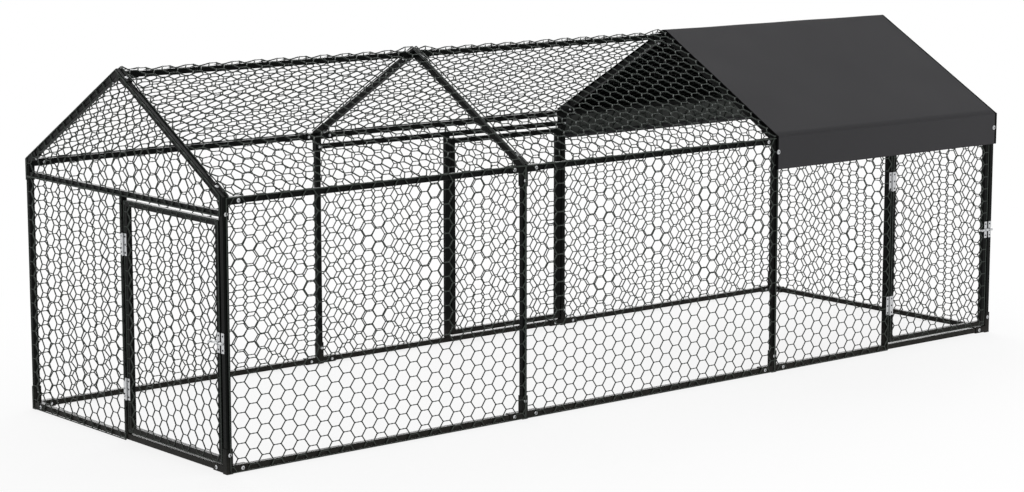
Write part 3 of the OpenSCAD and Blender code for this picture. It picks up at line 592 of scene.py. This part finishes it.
def off_trims(starts, ends, trims):
    """Which pieces have their middle off all the trimmed places."""
    middle = (starts + ends) / 2
    off = np.ones(len(middle), bool)
    for low, high in trims:
        off &= ~np.all((middle > low) & (middle < high), axis=1)
    return off


def kept(starts, ends, outline, trims):
    """The pieces inside the outline and off the trimmed places, cut to length."""
    enter, leave = clipped(starts, ends, outline)
    keep = (leave - enter > LEAST_SHARE) & off_trims(starts, ends, trims)
    return keep, enter[keep], leave[keep]


print("pieces under", LEAST_SHARE, "of their length are left out")

# %% [markdown]
# The twists stand in columns, and every second column is half a row higher. From the end of each twist
# two wires slant to the next column, one up and one down. The two strands of a twist turn once about
# each other, and they grow to the full wire at its ends. The small shifts of the twists come from a
# seeded generator, so the net is a little uneven and is still the same each time.

# %% Twists and slants
SHIFT = 0.0007
STRAND_R = 0.00104
STRAND_TURNS = (0.25, 0.75)
STRAND_FLARE = 4
LAY_R = 0.00062
LAY_DEPTH = 0.00025
TWIST_STEPS = 4


def twist_centres(outline, pitch, phase, seed):
    """Middles of the twists over the outline's box, one column after the other."""
    low = np.floor((outline.min(0) - phase) / (pitch, ROW)).astype(int) - 1
    high = np.ceil((outline.max(0) - phase) / (pitch, ROW)).astype(int) + 2
    column, row = np.meshgrid(np.arange(low[0], high[0]), np.arange(low[1], high[1]), indexing="ij")
    shift = np.random.default_rng(seed).uniform(-SHIFT, SHIFT, (2, *column.shape))
    u = phase[0] + column * pitch + shift[0]
    v = phase[1] + (row + 0.5 * (column % 2)) * ROW + shift[1]
    return np.stack([u, v], 2), column


def slants(centres, column, twist):
    """Starts and ends of the slanting wires, to the next column up and down."""
    starts, ends = [], []
    odd = column[:-1, :] % 2 == 1
    for way in (1, -1):
        step = np.where(odd, (way + 1) // 2, (way - 1) // 2)
        row = np.arange(column.shape[1])[None, :] + step
        c, r = np.nonzero((row >= 0) & (row < column.shape[1]))
        starts.append(centres[c, r] + (twist / 2, way * LAY_R))
        ends.append(centres[c + 1, row[c, r]] + (-twist / 2, -way * LAY_R))
    return np.concatenate(starts), np.concatenate(ends)


def twisted_wires(starts, ends, enter, leave):
    """Both strands of each twist as tubes: one full turn about each other from end to end."""
    share = np.linspace(0, 1, TWIST_STEPS + 1)
    t = enter[:, None] + (leave - enter)[:, None] * share[None]
    axis = starts[:, None] + (ends - starts)[:, None] * t[:, :, None]
    tubes = []
    for turn in STRAND_TURNS:
        angle = 2 * math.pi * (t + turn)
        side = axis[..., 1] + LAY_R * np.sin(angle)
        middles = np.stack([axis[..., 0], side, LAY_DEPTH * np.cos(angle)], 2)
        across = np.zeros_like(middles)
        across[..., 1] = STRAND_R + (WIRE_R - STRAND_R) * (2 * t - 1) ** STRAND_FLARE
        tubes.append(ring_points(middles, across))
    return np.concatenate(tubes)


print("shift of a twist up to", SHIFT, "m")

# %% [markdown]
# Now a net can be stood on its wall. A wall is an origin and three directions: along, up and out. The
# nets are made flat and their points are then carried to the wall. Turning each object would do it too,
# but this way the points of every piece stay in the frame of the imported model.

# %% Walls
NET_GAP = 0.001
NET_OUT = SLEEVE / 2 + NET_GAP
WALLS = {
    "front": ((0, -half_span, 0), (1, 0, 0), (0, 0, 1), (0, -1, 0)),
    "rear": ((0, half_span, 0), (1, 0, 0), (0, 0, 1), (0, 1, 0)),
    "entrance": ((-end_x, 0, 0), (0, 1, 0), (0, 0, 1), (-1, 0, 0)),
    "closed": ((end_x, 0, 0), (0, 1, 0), (0, 0, 1), (1, 0, 0)),
}
for name, side in (("front_roof", -1), ("rear_roof", 1)):
    WALLS[name] = (
        (0, side * half_span, rafter_eave_z), (1, 0, 0),
        (0, -side * math.cos(ROOF_PITCH), math.sin(ROOF_PITCH)),
        (0, side * math.sin(ROOF_PITCH), math.cos(ROOF_PITCH)))
print("walls:", ", ".join(WALLS))

# %% [markdown]
# Netting is springy, so a net on a roof isn't flat: it stands on the bolt heads, bows up between eave and
# ridge, and is pulled down at its edges. All of this is a small move of the finished points, and each
# pull fades out with the distance from its edge. That is easier to steer than a simulation of wire.

# %% Lie of a net
EDGE_CLEAR = 0.03
TUCK_REACH = 0.06
DROP_REACH = 0.08
SETTLE_FLAT = 0.007
SETTLE_REACH = 0.04
SETTLE_RAMP = 0.03
SLEEVE_CLEAR = 0.072
ON_TUBE = TUBE / 2 + WIRE_R - NET_OUT


def lay_net(tubes, outline, lift=0.0, bow=0.0, tuck=0.0, drop=0.0, settle=0.0):
    """Moves the points of a net, which is lifted and bows out between its lower and upper edge.

    Away from its two sides, a tuck draws the lower edge in and a drop lets the upper edge fall plumb. A
    settle of 1 lays the left side down on its tube, off the sleeves at both ends of that tube.
    """
    (left, low), (right, high) = outline.min(0), outline.max(0)
    u, v = tubes[..., 0], tubes[..., 1]
    free = np.clip(np.minimum(u - left, right - u) / EDGE_CLEAR - 1, 0, 1)
    drawn = tuck * free * np.clip(1 - (v - low) / TUCK_REACH, 0, 1) ** 2
    fallen = drop * free * np.clip(1 - (high - v) / DROP_REACH, 0, 1) ** 2
    clear = np.clip((np.minimum(v - low, high - v) - SLEEVE_CLEAR) / SETTLE_RAMP, 0, 1)
    down = settle * clear * np.clip(1 - (u - left - SETTLE_FLAT) / SETTLE_REACH, 0, 1) ** 2
    height = lift + bow * np.sin(math.pi * (v - low) / (high - low)) - drawn
    tubes[..., 2] += height * (1 - down) + ON_TUBE * down
    tubes[..., 2] -= fallen * math.cos(ROOF_PITCH)
    tubes[..., 1] -= fallen * math.sin(ROOF_PITCH)


print("a settled wire lies", round(NET_OUT + ON_TUBE, 5), "m off the middle of its tube")

# %% [markdown]
# A net has three kinds of wire: twists, slants and a rim. The rim wire runs along the sides of the
# outline that have one: a cut edge has none, and there the wires just end. It is made in short pieces,
# so that it can follow the lie of the net and stop short at a hinge.

# %% Wires of a net
TRIM_STEP = 0.008


def rim_pieces(outline, rims, step):
    """The chosen sides of the outline in short pieces."""
    pieces = []
    for k in rims:
        a, b = outline[k], outline[(k + 1) % len(outline)]
        share = np.linspace(0, 1, math.ceil(np.linalg.norm(b - a) / step) + 1)[:, None]
        line = a + (b - a) * share
        pieces.append(np.stack([line[:-1], line[1:]], 1))
    return np.concatenate(pieces)


def net_tubes(outline, cell, phase, seed, trims=(), rims=None, **lie):
    """The twists, slants and rim of one net in wall coordinates, each an array of rings."""
    outline = np.array(outline)
    trims = [np.array(t) for t in trims]
    pitch, twist = CELLS[cell]
    centres, column = twist_centres(outline, pitch, np.array(phase), seed)
    flat = centres.reshape(-1, 2)
    starts, ends = flat - (twist / 2, 0), flat + (twist / 2, 0)
    keep, enter, leave = kept(starts, ends, outline, trims)
    groups = [twisted_wires(starts[keep], ends[keep], enter, leave)]
    starts, ends = slants(centres, column, twist)
    keep, enter, leave = kept(starts, ends, outline, trims)
    starts, along = starts[keep], (ends - starts)[keep]
    groups.append(straight_wires(starts + along * enter[:, None], starts + along * leave[:, None]))
    rims = range(len(outline)) if rims is None else rims
    pieces = rim_pieces(outline, rims, TRIM_STEP if trims else ROW)
    pieces = pieces[off_trims(pieces[:, 0], pieces[:, 1], trims)]
    groups.append(straight_wires(pieces[:, 0], pieces[:, 1]))
    for tubes in groups:
        lay_net(tubes, outline, **lie)
    return groups


print("a trimmed rim is cut every", TRIM_STEP, "m")

# %% [markdown]
# All nets on one wall that stand for the same imported node become one object. The whole of it gets a
# slight ripple, so that no net is quite flat. The walls of the tubes are shaded smooth and their cut ends
# flat. The wire under the cover gets a near-black finish, which is painted shade from the sheet.

# %% Pieces of netting
RIPPLE = 0.0004
RIPPLE_ALONG = 19
RIPPLE_UP = 23


def net_object(name, node, body, wall, out, nets, shade_painted_nets=()):
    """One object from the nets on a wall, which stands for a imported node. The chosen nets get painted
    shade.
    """
    origin, along, up, outward = (np.array(v, float) for v in WALLS[wall])
    points, faces, wires, count = [], [], [], 0
    for k, net in enumerate(nets):
        for tubes in net_tubes(**net):
            if len(tubes):
                faces += tube_faces(len(tubes), tubes.shape[1], count)
                wires += [int(k in shade_painted_nets)] * (len(faces) - len(wires))
                points.append(tubes.reshape(-1, 3))
                count += len(points[-1])
    flat = np.concatenate(points)
    depth = flat[:, 2] + RIPPLE * np.sin(flat[:, 0] * RIPPLE_ALONG) * np.sin(flat[:, 1] * RIPPLE_UP)
    spots = origin + flat[:, :1] * along + flat[:, 1:2] * up + (out + depth)[:, None] * outward
    if np.dot(np.cross(along, up), outward) < 0:
        faces = [face[::-1] for face in faces]
    piece = new_piece(name, spots, faces, [coated_wire] + [painted_shade_wire] * len(shade_painted_nets))
    piece.data.polygons.foreach_set("use_smooth", [len(face) == 4 for face in faces])
    piece.data.polygons.foreach_set("material_index", wires)
    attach(piece, body)
    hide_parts(node)
    print(name, len(faces), "faces")


print("ripple of", RIPPLE, "m")

# %% [markdown]
# A panel is mostly a rectangle, and a trim is one too: the place that a hinge, a latch plate or a keeper
# takes on its wall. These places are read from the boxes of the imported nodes. Both hinges of a door are
# one node, so its box is split into a lower and an upper one.

# %% Outlines and trims
TRIM_ROOM = 0.002
HINGE_HEIGHT = 0.060
KEEPER_ROOM = 0.014


def box_outline(low_u, low_v, high_u, high_v):
    """A rectangle whose sides turn left: bottom, right, top, left."""
    return [(low_u, low_v), (high_u, low_v), (high_u, high_v), (low_u, high_v)]


def trim_of(node, axis):
    """The place that a node's box takes on its wall, with a little room round it."""
    low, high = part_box(node)
    return (low[axis] - TRIM_ROOM, low.z - TRIM_ROOM), (high[axis] + TRIM_ROOM, high.z + TRIM_ROOM)


def hinge_trims(door, axis):
    """The places of a door's two hinges, from the box that holds both."""
    (low_u, low_v), (high_u, high_v) = trim_of(f"{door}_door_hinge_leaves", axis)
    height = HINGE_HEIGHT + 2 * TRIM_ROOM
    return [((low_u, low_v), (high_u, low_v + height)), ((low_u, high_v - height), (high_u, high_v))]


def keeper_trim(door, post_x):
    """The place of a door's latch keeper on its post."""
    low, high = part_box(f"{door}_door_latch_plate")
    return (post_x - KEEPER_ROOM, low.z - TRIM_ROOM), (post_x + KEEPER_ROOM, high.z + TRIM_ROOM)


print("trims leave", TRIM_ROOM, "m of room")

# %% [markdown]
# The long walls take one net per bay, from post to post. A bay with a door has a net beside the door and
# a strip over it. All nets of a wall share one phase, so that the cells run on across the posts, as they
# do on a roll of netting that is pulled along the whole wall.

# %% Nets of the long walls
POST_SEAM = 0.0012
NET_LOW = 0.0035
EAVE_LAP = 0.0085
NET_HIGH = eave_z + EAVE_LAP
DOOR_TO_JAMB = 0.014
JAMB_LAP = 0.0035
STRIP_GAP = 0.002
STRIP_SEED = 10
HEADER_LAP = 0.007
LEAF_REACH = 0.016
WALL_PHASE = (-1.412, 0.018)
DOOR_BAYS = {"front": 2, "rear": 1}

for side, door_bay in DOOR_BAYS.items():
    for bay in range(len(frame_xs) - 1):
        left, right = frame_xs[bay] + POST_SEAM, frame_xs[bay + 1] - POST_SEAM
        net = {"outline": box_outline(left, NET_LOW, right, NET_HIGH), "cell": "wall",
               "phase": WALL_PHASE, "seed": bay}
        nets = [net]
        if bay == door_bay + 1:
            net["trims"] = [keeper_trim(side, frame_xs[bay])]
        if bay == door_bay:
            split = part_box(f"{side}_door_frame")[0].x - DOOR_TO_JAMB + JAMB_LAP
            leaves = [((u[0] - LEAF_REACH, u[1]), v) for u, v in hinge_trims(side, 0)]
            beside = box_outline(left, NET_LOW, split, NET_HIGH)
            above = box_outline(split + STRIP_GAP, tie_z - HEADER_LAP, right, NET_HIGH)
            nets = [{**net, "outline": beside, "trims": leaves},
                    {**net, "outline": above, "seed": bay + STRIP_SEED}]
        net_object(f"{side}_wall_wire_{bay + 1}", f"{side}_net_bay_{bay + 1}", "frame", side, NET_OUT, nets)

# %% [markdown]
# On the roof the two slopes are one net that is bent over the ridge. A row of twists lies right on the
# bend, which is why the ridge shows a line of small arches against the sky. So the phase of the roof nets
# is set from the ridge down, and no rim wire runs along it. In the open bays the net lies on the bolt
# heads, a little off the rafters, bows up between eave and ridge, and comes down on the eave rails and
# on the ridge rail between the frames. The front net is also pulled down on the entrance rafter. The
# open net ends at the edge of the cover, and under it the net lies close, so that the sheet hides it.

# %% Roof nets
EAVE_V = -0.008
EAVE_TUCKS = (0.0066, 0.0066, 0.0)
RIDGE_DROPS = (0.007, 0.007, 0.0)
ROOF_LIFTS = (0.0026, 0.0026, -0.0015)
ROOF_RIMS = ((1, 3), (3,), (0, 1, 3))
ROOF_BOWS = {"front": (0.003, 0.003, 0.0), "rear": (0.005, 0.005, 0.0)}
ROOF_SETTLES = {"front": (1.0, 0.0, 0.0), "rear": (0.0, 0.0, 0.0)}
ROOF_SEED = 20
RAFTER_SEAM = 0.007
COVERED_SEAM = 0.0115
COVERED_BAY = 2
RIDGE_MEET = 0.0007
COVER_GAP = 0.0005

cover_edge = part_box("cover_roof")[0].x - COVER_GAP
roof_starts = [frame_xs[0] + RAFTER_SEAM, frame_xs[1] + RAFTER_SEAM, frame_xs[2] + COVERED_SEAM]
roof_ends = [frame_xs[1] - RAFTER_SEAM, cover_edge, frame_xs[3] - COVERED_SEAM]
for side in ("front", "rear"):
    nets = []
    for bay, lift in enumerate(ROOF_LIFTS):
        ridge_v = rafter_len + (NET_OUT + lift) * math.tan(ROOF_PITCH) - RIDGE_MEET
        reach = ridge_v + (RIDGE_MEET if side == "front" else -RIDGE_MEET)
        nets.append({
            "outline": box_outline(roof_starts[bay], EAVE_V, roof_ends[bay], reach), "cell": "wall",
            "phase": (WALL_PHASE[0], ridge_v), "seed": ROOF_SEED + bay, "rims": ROOF_RIMS[bay],
            "lift": lift, "bow": ROOF_BOWS[side][bay], "tuck": EAVE_TUCKS[bay],
            "drop": RIDGE_DROPS[bay], "settle": ROOF_SETTLES[side][bay]})
    # The net of the covered bay takes the painted shade finish.
    net_object(f"{side}_roof_wire", f"{side}_roof_nets", "frame", f"{side}_roof", NET_OUT, nets,
               shade_painted_nets=[COVERED_BAY])

# %% [markdown]
# The ends are five-sided: plumb up to the eaves, then along the rafters to the peak. The entrance end is
# split by its tie rail into a gable above and a half wall beside the door.

# %% Nets of the two ends
GABLE_EDGE = 0.007
GABLE_LAP = 0.004
SIDE_LAP = 0.006
SIDE_REACH = 0.009
END_SEED = 31
END_PHASE = (0.006, 0.010)


def gable_outline(low):
    """The outline of an end from the given height up, along the outer edges of the rafters."""
    wide = half_span - POST_SEAM
    peak = apex_z + GABLE_EDGE / math.cos(ROOF_PITCH)
    shoulder = peak - wide * math.tan(ROOF_PITCH)
    return [(-wide, low), (wide, low), (wide, shoulder), (0, peak), (-wide, shoulder)]


side_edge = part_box("entrance_side_net")[0].y - SIDE_REACH
side_outline = box_outline(side_edge, NET_LOW, half_span - POST_SEAM, tie_z - SIDE_LAP)
leaves = [(u, (v[0] + LEAF_REACH, v[1])) for u, v in hinge_trims("end", 1)]
end_nets = (
    ("entrance_gable", "entrance", gable_outline(tie_z - GABLE_LAP), ()),
    ("entrance_side", "entrance", side_outline, leaves),
    ("closed_end", "closed", gable_outline(NET_LOW), ()),
)
for k, (name, wall, outline, trims) in enumerate(end_nets):
    net_object(f"{name}_wire", f"{name}_net", "frame", wall, NET_OUT, [
        {"outline": outline, "cell": "end", "phase": END_PHASE, "seed": END_SEED + k, "trims": trims}])

# %% [markdown]
# Each door has its own net, pulled over the outer faces of its tubes. It rides on the door, so that it
# swings with it, and it is trimmed round the hinge leaves and the latch plate.

# %% Nets of the doors
DOOR_NET_OUT = TUBE / 2
DOOR_EDGE = 0.002
DOOR_SEED = 40

for door, wall, axis in (("end", "entrance", 1), ("rear", "rear", 0), ("front", "front", 0)):
    low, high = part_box(f"{door}_door_frame")
    outline = box_outline(
        low[axis] + DOOR_EDGE, low.z + DOOR_EDGE, high[axis] - DOOR_EDGE, high.z - DOOR_EDGE)
    trims = hinge_trims(door, axis) + [trim_of(f"{door}_door_latch_plate", axis)]
    phase = END_PHASE if door == "end" else WALL_PHASE
    net_object(f"{door}_door_wire", f"{door}_door_net", f"{door}_door", wall, DOOR_NET_OUT, [
        {"outline": outline, "cell": "door", "phase": phase, "seed": DOOR_SEED + axis, "trims": trims}])

# %% [markdown]
# The cover is a coated woven sheet, so it needs a weave that is much finer than the wires. A third group
# makes it from two sets of threads that cross: two waves, multiplied. It reads the sheet's own flat
# coordinates, in metres, so the threads follow every fold.

# %% Shared weave
CLOTH_MAP = "cloth"

weave, given, made = new_group("plain_weave", {"Thread": VALUE}, {"Height": VALUE})
flat = weave.nodes.new("ShaderNodeUVMap")
flat.uv_map = CLOTH_MAP
parts = weave.nodes.new("ShaderNodeSeparateXYZ")
weave.links.new(flat.outputs["UV"], parts.inputs["Vector"])
waves = []
for axis in ("X", "Y"):
    turns = math_node(weave, "DIVIDE", parts.outputs[axis], given["Thread"])
    waves.append(math_node(weave, "SINE", math_node(weave, "MULTIPLY", turns, math.pi)))
cross = math_node(weave, "MULTIPLY", *waves)
weave.links.new(math_node(weave, "MULTIPLY_ADD", cross, 0.5, 0.5), made["Height"])
print("group:", weave.name)

# %% [markdown]
# Cloth starts as any other finish and gets its weave on top: the threads raise the surface, and painted
# shade darkens the gaps between them a little. There are four kinds: the dull grey outer face, the inner
# face of the roof painted near black as shade, the inner face of the flaps painted paler as the daylight
# that reaches it, and the black tape that binds the ends.

# %% Cloth finish
THREAD = 0.0011
THREAD_RELIEF = 0.3
THREAD_DEPTH = 0.0002
# Share of painted shade in the gaps between the threads.
THREAD_PAINTED_SHADE = 0.18
CLOTH_CLOUD = 3.5
CLOTH_GRAIN = 400
CLOTH_BUMP = 0.1
CLOTH_ROUGH = (0.62, 0.74)


def cloth_finish(name, dark, light, shine):
    """A woven sheet with uneven tone and a fine crossing weave."""
    material = finish(name, dark, light, CLOTH_CLOUD, CLOTH_GRAIN, CLOTH_ROUGH, CLOTH_BUMP, shine)
    tree = material.node_tree
    shader = tree.nodes["Principled BSDF"].inputs
    tone = shader["Base Color"].links[0].from_socket
    grain = shader["Normal"].links[0].from_socket
    height = place_group(tree, weave, {"Thread": THREAD})["Height"]
    tree.links.new(relief(tree, height, THREAD_RELIEF, THREAD_DEPTH, grain), shader["Normal"])
    # Painted shade: the tone is darkened where the weave is low, between the threads.
    tree.links.new(mix_tones(tree, THREAD_PAINTED_SHADE, tone, height, "MULTIPLY"), shader["Base Color"])
    return material


cover_cloth = cloth_finish("cover_cloth", (0.041, 0.0405, 0.043), (0.049, 0.0485, 0.051), shine=0.06)
# Painted shade: the roof's inner face is made near black for the shade under the sheet.
painted_shade_lining = cloth_finish("painted_shade_lining", (0.0012, 0.0017, 0.0013), (0.002, 0.0027, 0.0022), shine=0.0)
# Painted light: the flaps' inner face is made paler than the outer cloth for the daylight that reaches it.
painted_light_lining = cloth_finish("painted_light_lining", (0.060, 0.065, 0.061), (0.074, 0.078, 0.074), shine=0.06)
cover_binding = cloth_finish("cover_binding", (0.0035, 0.0036, 0.0037), (0.006, 0.0062, 0.0064), shine=0.0)
print("thread", THREAD, "m")

# %% [markdown]
# The roof sheet lies over the last bay from eave to eave. Its section is a roof line with a soft bend at
# the ridge. A plain box could be bent instead, but a line of points that is carried along the bay keeps
# the flat coordinates that the weave needs.

# %% Section of the cover
COVER_OUT = 0.0136
RIDGE_BEND = 0.012
SLOPE_STEPS = 26
BEND_STEPS = 8


def cover_section():
    """Points (y, z) of the roof sheet from the front fold over the ridge to the rear fold."""
    fold_y = half_span + COVER_OUT
    top = apex_z + COVER_OUT / math.cos(ROOF_PITCH)
    reach = RIDGE_BEND * math.tan(ROOF_PITCH)
    slope = np.linspace(fold_y, reach * math.cos(ROOF_PITCH), SLOPE_STEPS)
    front = [(-y, top - y * math.tan(ROOF_PITCH)) for y in slope]
    middle_z = front[-1][1] - RIDGE_BEND * math.cos(ROOF_PITCH)
    turns = np.linspace(-ROOF_PITCH, ROOF_PITCH, BEND_STEPS + 1)[1:-1]
    bend = [(RIDGE_BEND * math.sin(a), middle_z + RIDGE_BEND * math.cos(a)) for a in turns]
    return np.array(front + bend + [(-y, z) for y, z in front[::-1]])


def path_lengths(points):
    """Distance along a line of points, from its first."""
    return np.concatenate([[0], np.cumsum(np.linalg.norm(np.diff(points, axis=0), axis=1))])


section = cover_section()
run = path_lengths(section)
print("section of", len(section), "points,", round(float(run[-1]), 3), "m long")

# %% [markdown]
# The roof sheet and both flaps are built alike: a grid of points becomes a mesh, and the flat coordinates
# of the same grid become its texture map. The faces at both ends take the tape. A Solidify modifier gives
# the sheet its thickness, and its material offset puts the painted lining on the inner side.

# %% Sheets from grids
SHEET_T = 0.0008
BINDING = 0.009
X_STEPS = 48
TAPE_SLOT = 2


def bound_steps(low, high):
    """Places along the sheet in even steps, with one more at the inner edge of each binding."""
    return np.unique(np.concatenate([np.linspace(low, high, X_STEPS), [low + BINDING, high - BINDING]]))


def cloth_object(name, node, grid, flat, painted_lining):
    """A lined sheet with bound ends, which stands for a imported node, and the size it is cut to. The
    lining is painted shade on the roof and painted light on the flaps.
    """
    rows, columns = grid.shape[:2]
    index = np.arange(rows * columns).reshape(rows, columns)
    faces = np.stack([index[:-1, :-1], index[:-1, 1:], index[1:, 1:], index[1:, :-1]], 2).reshape(-1, 4)
    points = grid.reshape(-1, 3)
    cloths = (cover_cloth, painted_lining, cover_binding, cover_binding)
    piece = new_piece(name, points, faces.tolist(), cloths)
    layer = piece.data.uv_layers.new(name=CLOTH_MAP)
    layer.data.foreach_set("uv", flat.reshape(-1, 2)[faces.ravel()].ravel())
    piece.data.shade_smooth()
    middle = points[faces, 0].mean(1)
    bound = (middle < points[:, 0].min() + BINDING) | (middle > points[:, 0].max() - BINDING)
    piece.data.polygons.foreach_set("material_index", bound * TAPE_SLOT)
    skin = piece.modifiers.new("thickness", "SOLIDIFY")
    skin.thickness = SHEET_T
    skin.offset = -1
    skin.material_offset = 1
    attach(piece, "frame")
    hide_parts(node)
    size = tuple(np.ptp(flat.reshape(-1, 2), axis=0).tolist())
    print(name, "cut to", [round(v, 3) for v in size])
    return piece, size


print("sheet", SHEET_T, "m thick, binding", BINDING, "m wide")

# %% [markdown]
# The section is carried along the bay in steps, with a gentle unevenness where the sheet lies on the
# netting, which fades out toward the folds at the eaves. At the closed end the sheet turns down into a
# hem. Its bend is a little longer than its drop, and the flat size allows for that.

# %% Cover roof
HEM_TURN = 0.003
HEM_DROP = 0.024
HEM_STEPS = 5
BEND_EXTRA = 0.57
LIE = 0.0006
LIE_WAVES = ((1.0, 21, 0.0, 17), (0.6, 9, 1.3, 31))

cover_low, cover_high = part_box("cover_roof")
turn_x = cover_high.x - HEM_TURN
xs = bound_steps(cover_low.x, cover_high.x)[:-1]
xs = np.append(xs[xs < turn_x], turn_x)
turn = np.linspace(0, math.pi / 2, HEM_STEPS)[1:]
drops = np.linspace(HEM_TURN, HEM_DROP, HEM_STEPS)[1:]
hem_x = np.concatenate([turn_x + HEM_TURN * np.sin(turn), np.full(len(drops), cover_high.x)])
hem_drop = np.concatenate([HEM_TURN * (1 - np.cos(turn)), drops])
all_x = np.concatenate([xs, hem_x])
all_drop = np.concatenate([np.zeros(len(xs)), hem_drop])
grid = np.zeros((len(section), len(all_x), 3))
grid[..., 0] = all_x[None]
grid[..., 1] = section[:, :1]
grid[..., 2] = section[:, 1:] - all_drop[None]
lie = sum(share * np.sin(all_x * along + start)[None] * np.sin(run * across)[:, None]
          for share, along, start, across in LIE_WAVES)
grid[..., 2] += LIE * lie * (all_drop == 0)[None] * np.sin(math.pi * run / run[-1])[:, None]
flat = np.zeros((*grid.shape[:2], 2))
flat[..., 0] = (np.concatenate([xs, xs[-1] + hem_drop + HEM_TURN * BEND_EXTRA]) - xs[0])[None]
flat[..., 1] = run[:, None]
cover, size = cloth_object("cover_sheet", "cover_roof", grid, flat, painted_shade_lining)

# %% [markdown]
# A flap hangs from each eave, held by an eyelet at each post. It drops nearly plumb, with slow waves that
# grow toward the free edge, and its lower edge is turned up into a hem. The front flap hangs before the
# top of the front door, so it is pushed up when that door opens. It gets a mesh of its own.

# %% Cover flaps
FLAP_STEPS = 18
HEM_WIDTH = 0.016
HEM_IN = 0.002
EDGE_TURN = 0.009
EDGE_FADE = 0.08
HANG_POWER = 1.5
WAVE = 0.0008
LONG_WAVE = 17
LONG_START = 0.6
SHORT_WAVE = 29
SHORT_SHARE = 0.5


def flap_grid(side, low, high, top):
    """Points and flat coordinates of a flap, its hem lying on its inner face, and its turned right edge."""
    fall = top - low.z
    drops = np.concatenate([np.linspace(0, fall, FLAP_STEPS), [fall, fall - HEM_WIDTH]])
    proud = np.concatenate([np.zeros(FLAP_STEPS), [-HEM_IN, -HEM_IN]])
    x_flat = np.append(bound_steps(0, high.x - low.x), high.x - low.x + EDGE_TURN)
    x = np.minimum(low.x + x_flat, high.x)
    inward = np.maximum(low.x + x_flat - high.x, 0)
    hang = (drops / fall) ** HANG_POWER
    wave = np.sin(x * LONG_WAVE + LONG_START) + SHORT_SHARE * np.sin(x * SHORT_WAVE + side)
    edges = np.minimum(1, np.minimum(x - low.x, high.x - x) / EDGE_FADE)
    out = half_span + COVER_OUT + WAVE * hang[:, None] * (wave * edges)[None] + proud[:, None]
    grid = np.zeros((len(drops), len(x), 3))
    grid[..., 0] = x[None]
    grid[..., 1] = side * (out - inward[None])
    grid[..., 2] = top - drops[:, None]
    down = path_lengths(np.stack([drops, proud], 1))
    flat = np.stack(np.broadcast_arrays(x_flat[None], down[:, None]), 2)
    return (grid[:, ::-1], flat[:, ::-1]) if side < 0 else (grid, flat)


for name, side in (("front", -1), ("rear", 1)):
    low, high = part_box(f"cover_{name}_flap")
    top = section[0, 1]
    grid, flat = flap_grid(side, low, high, top)
    flap, size = cloth_object(f"cover_{name}_flap_sheet", f"cover_{name}_flap", grid, flat, painted_light_lining)
    if name == "front":
        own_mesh(flap)

# %% [markdown]
# Last, the box of the finished model is measured over every shown piece apart from the floor.

# %% Sizes and finish
low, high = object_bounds()
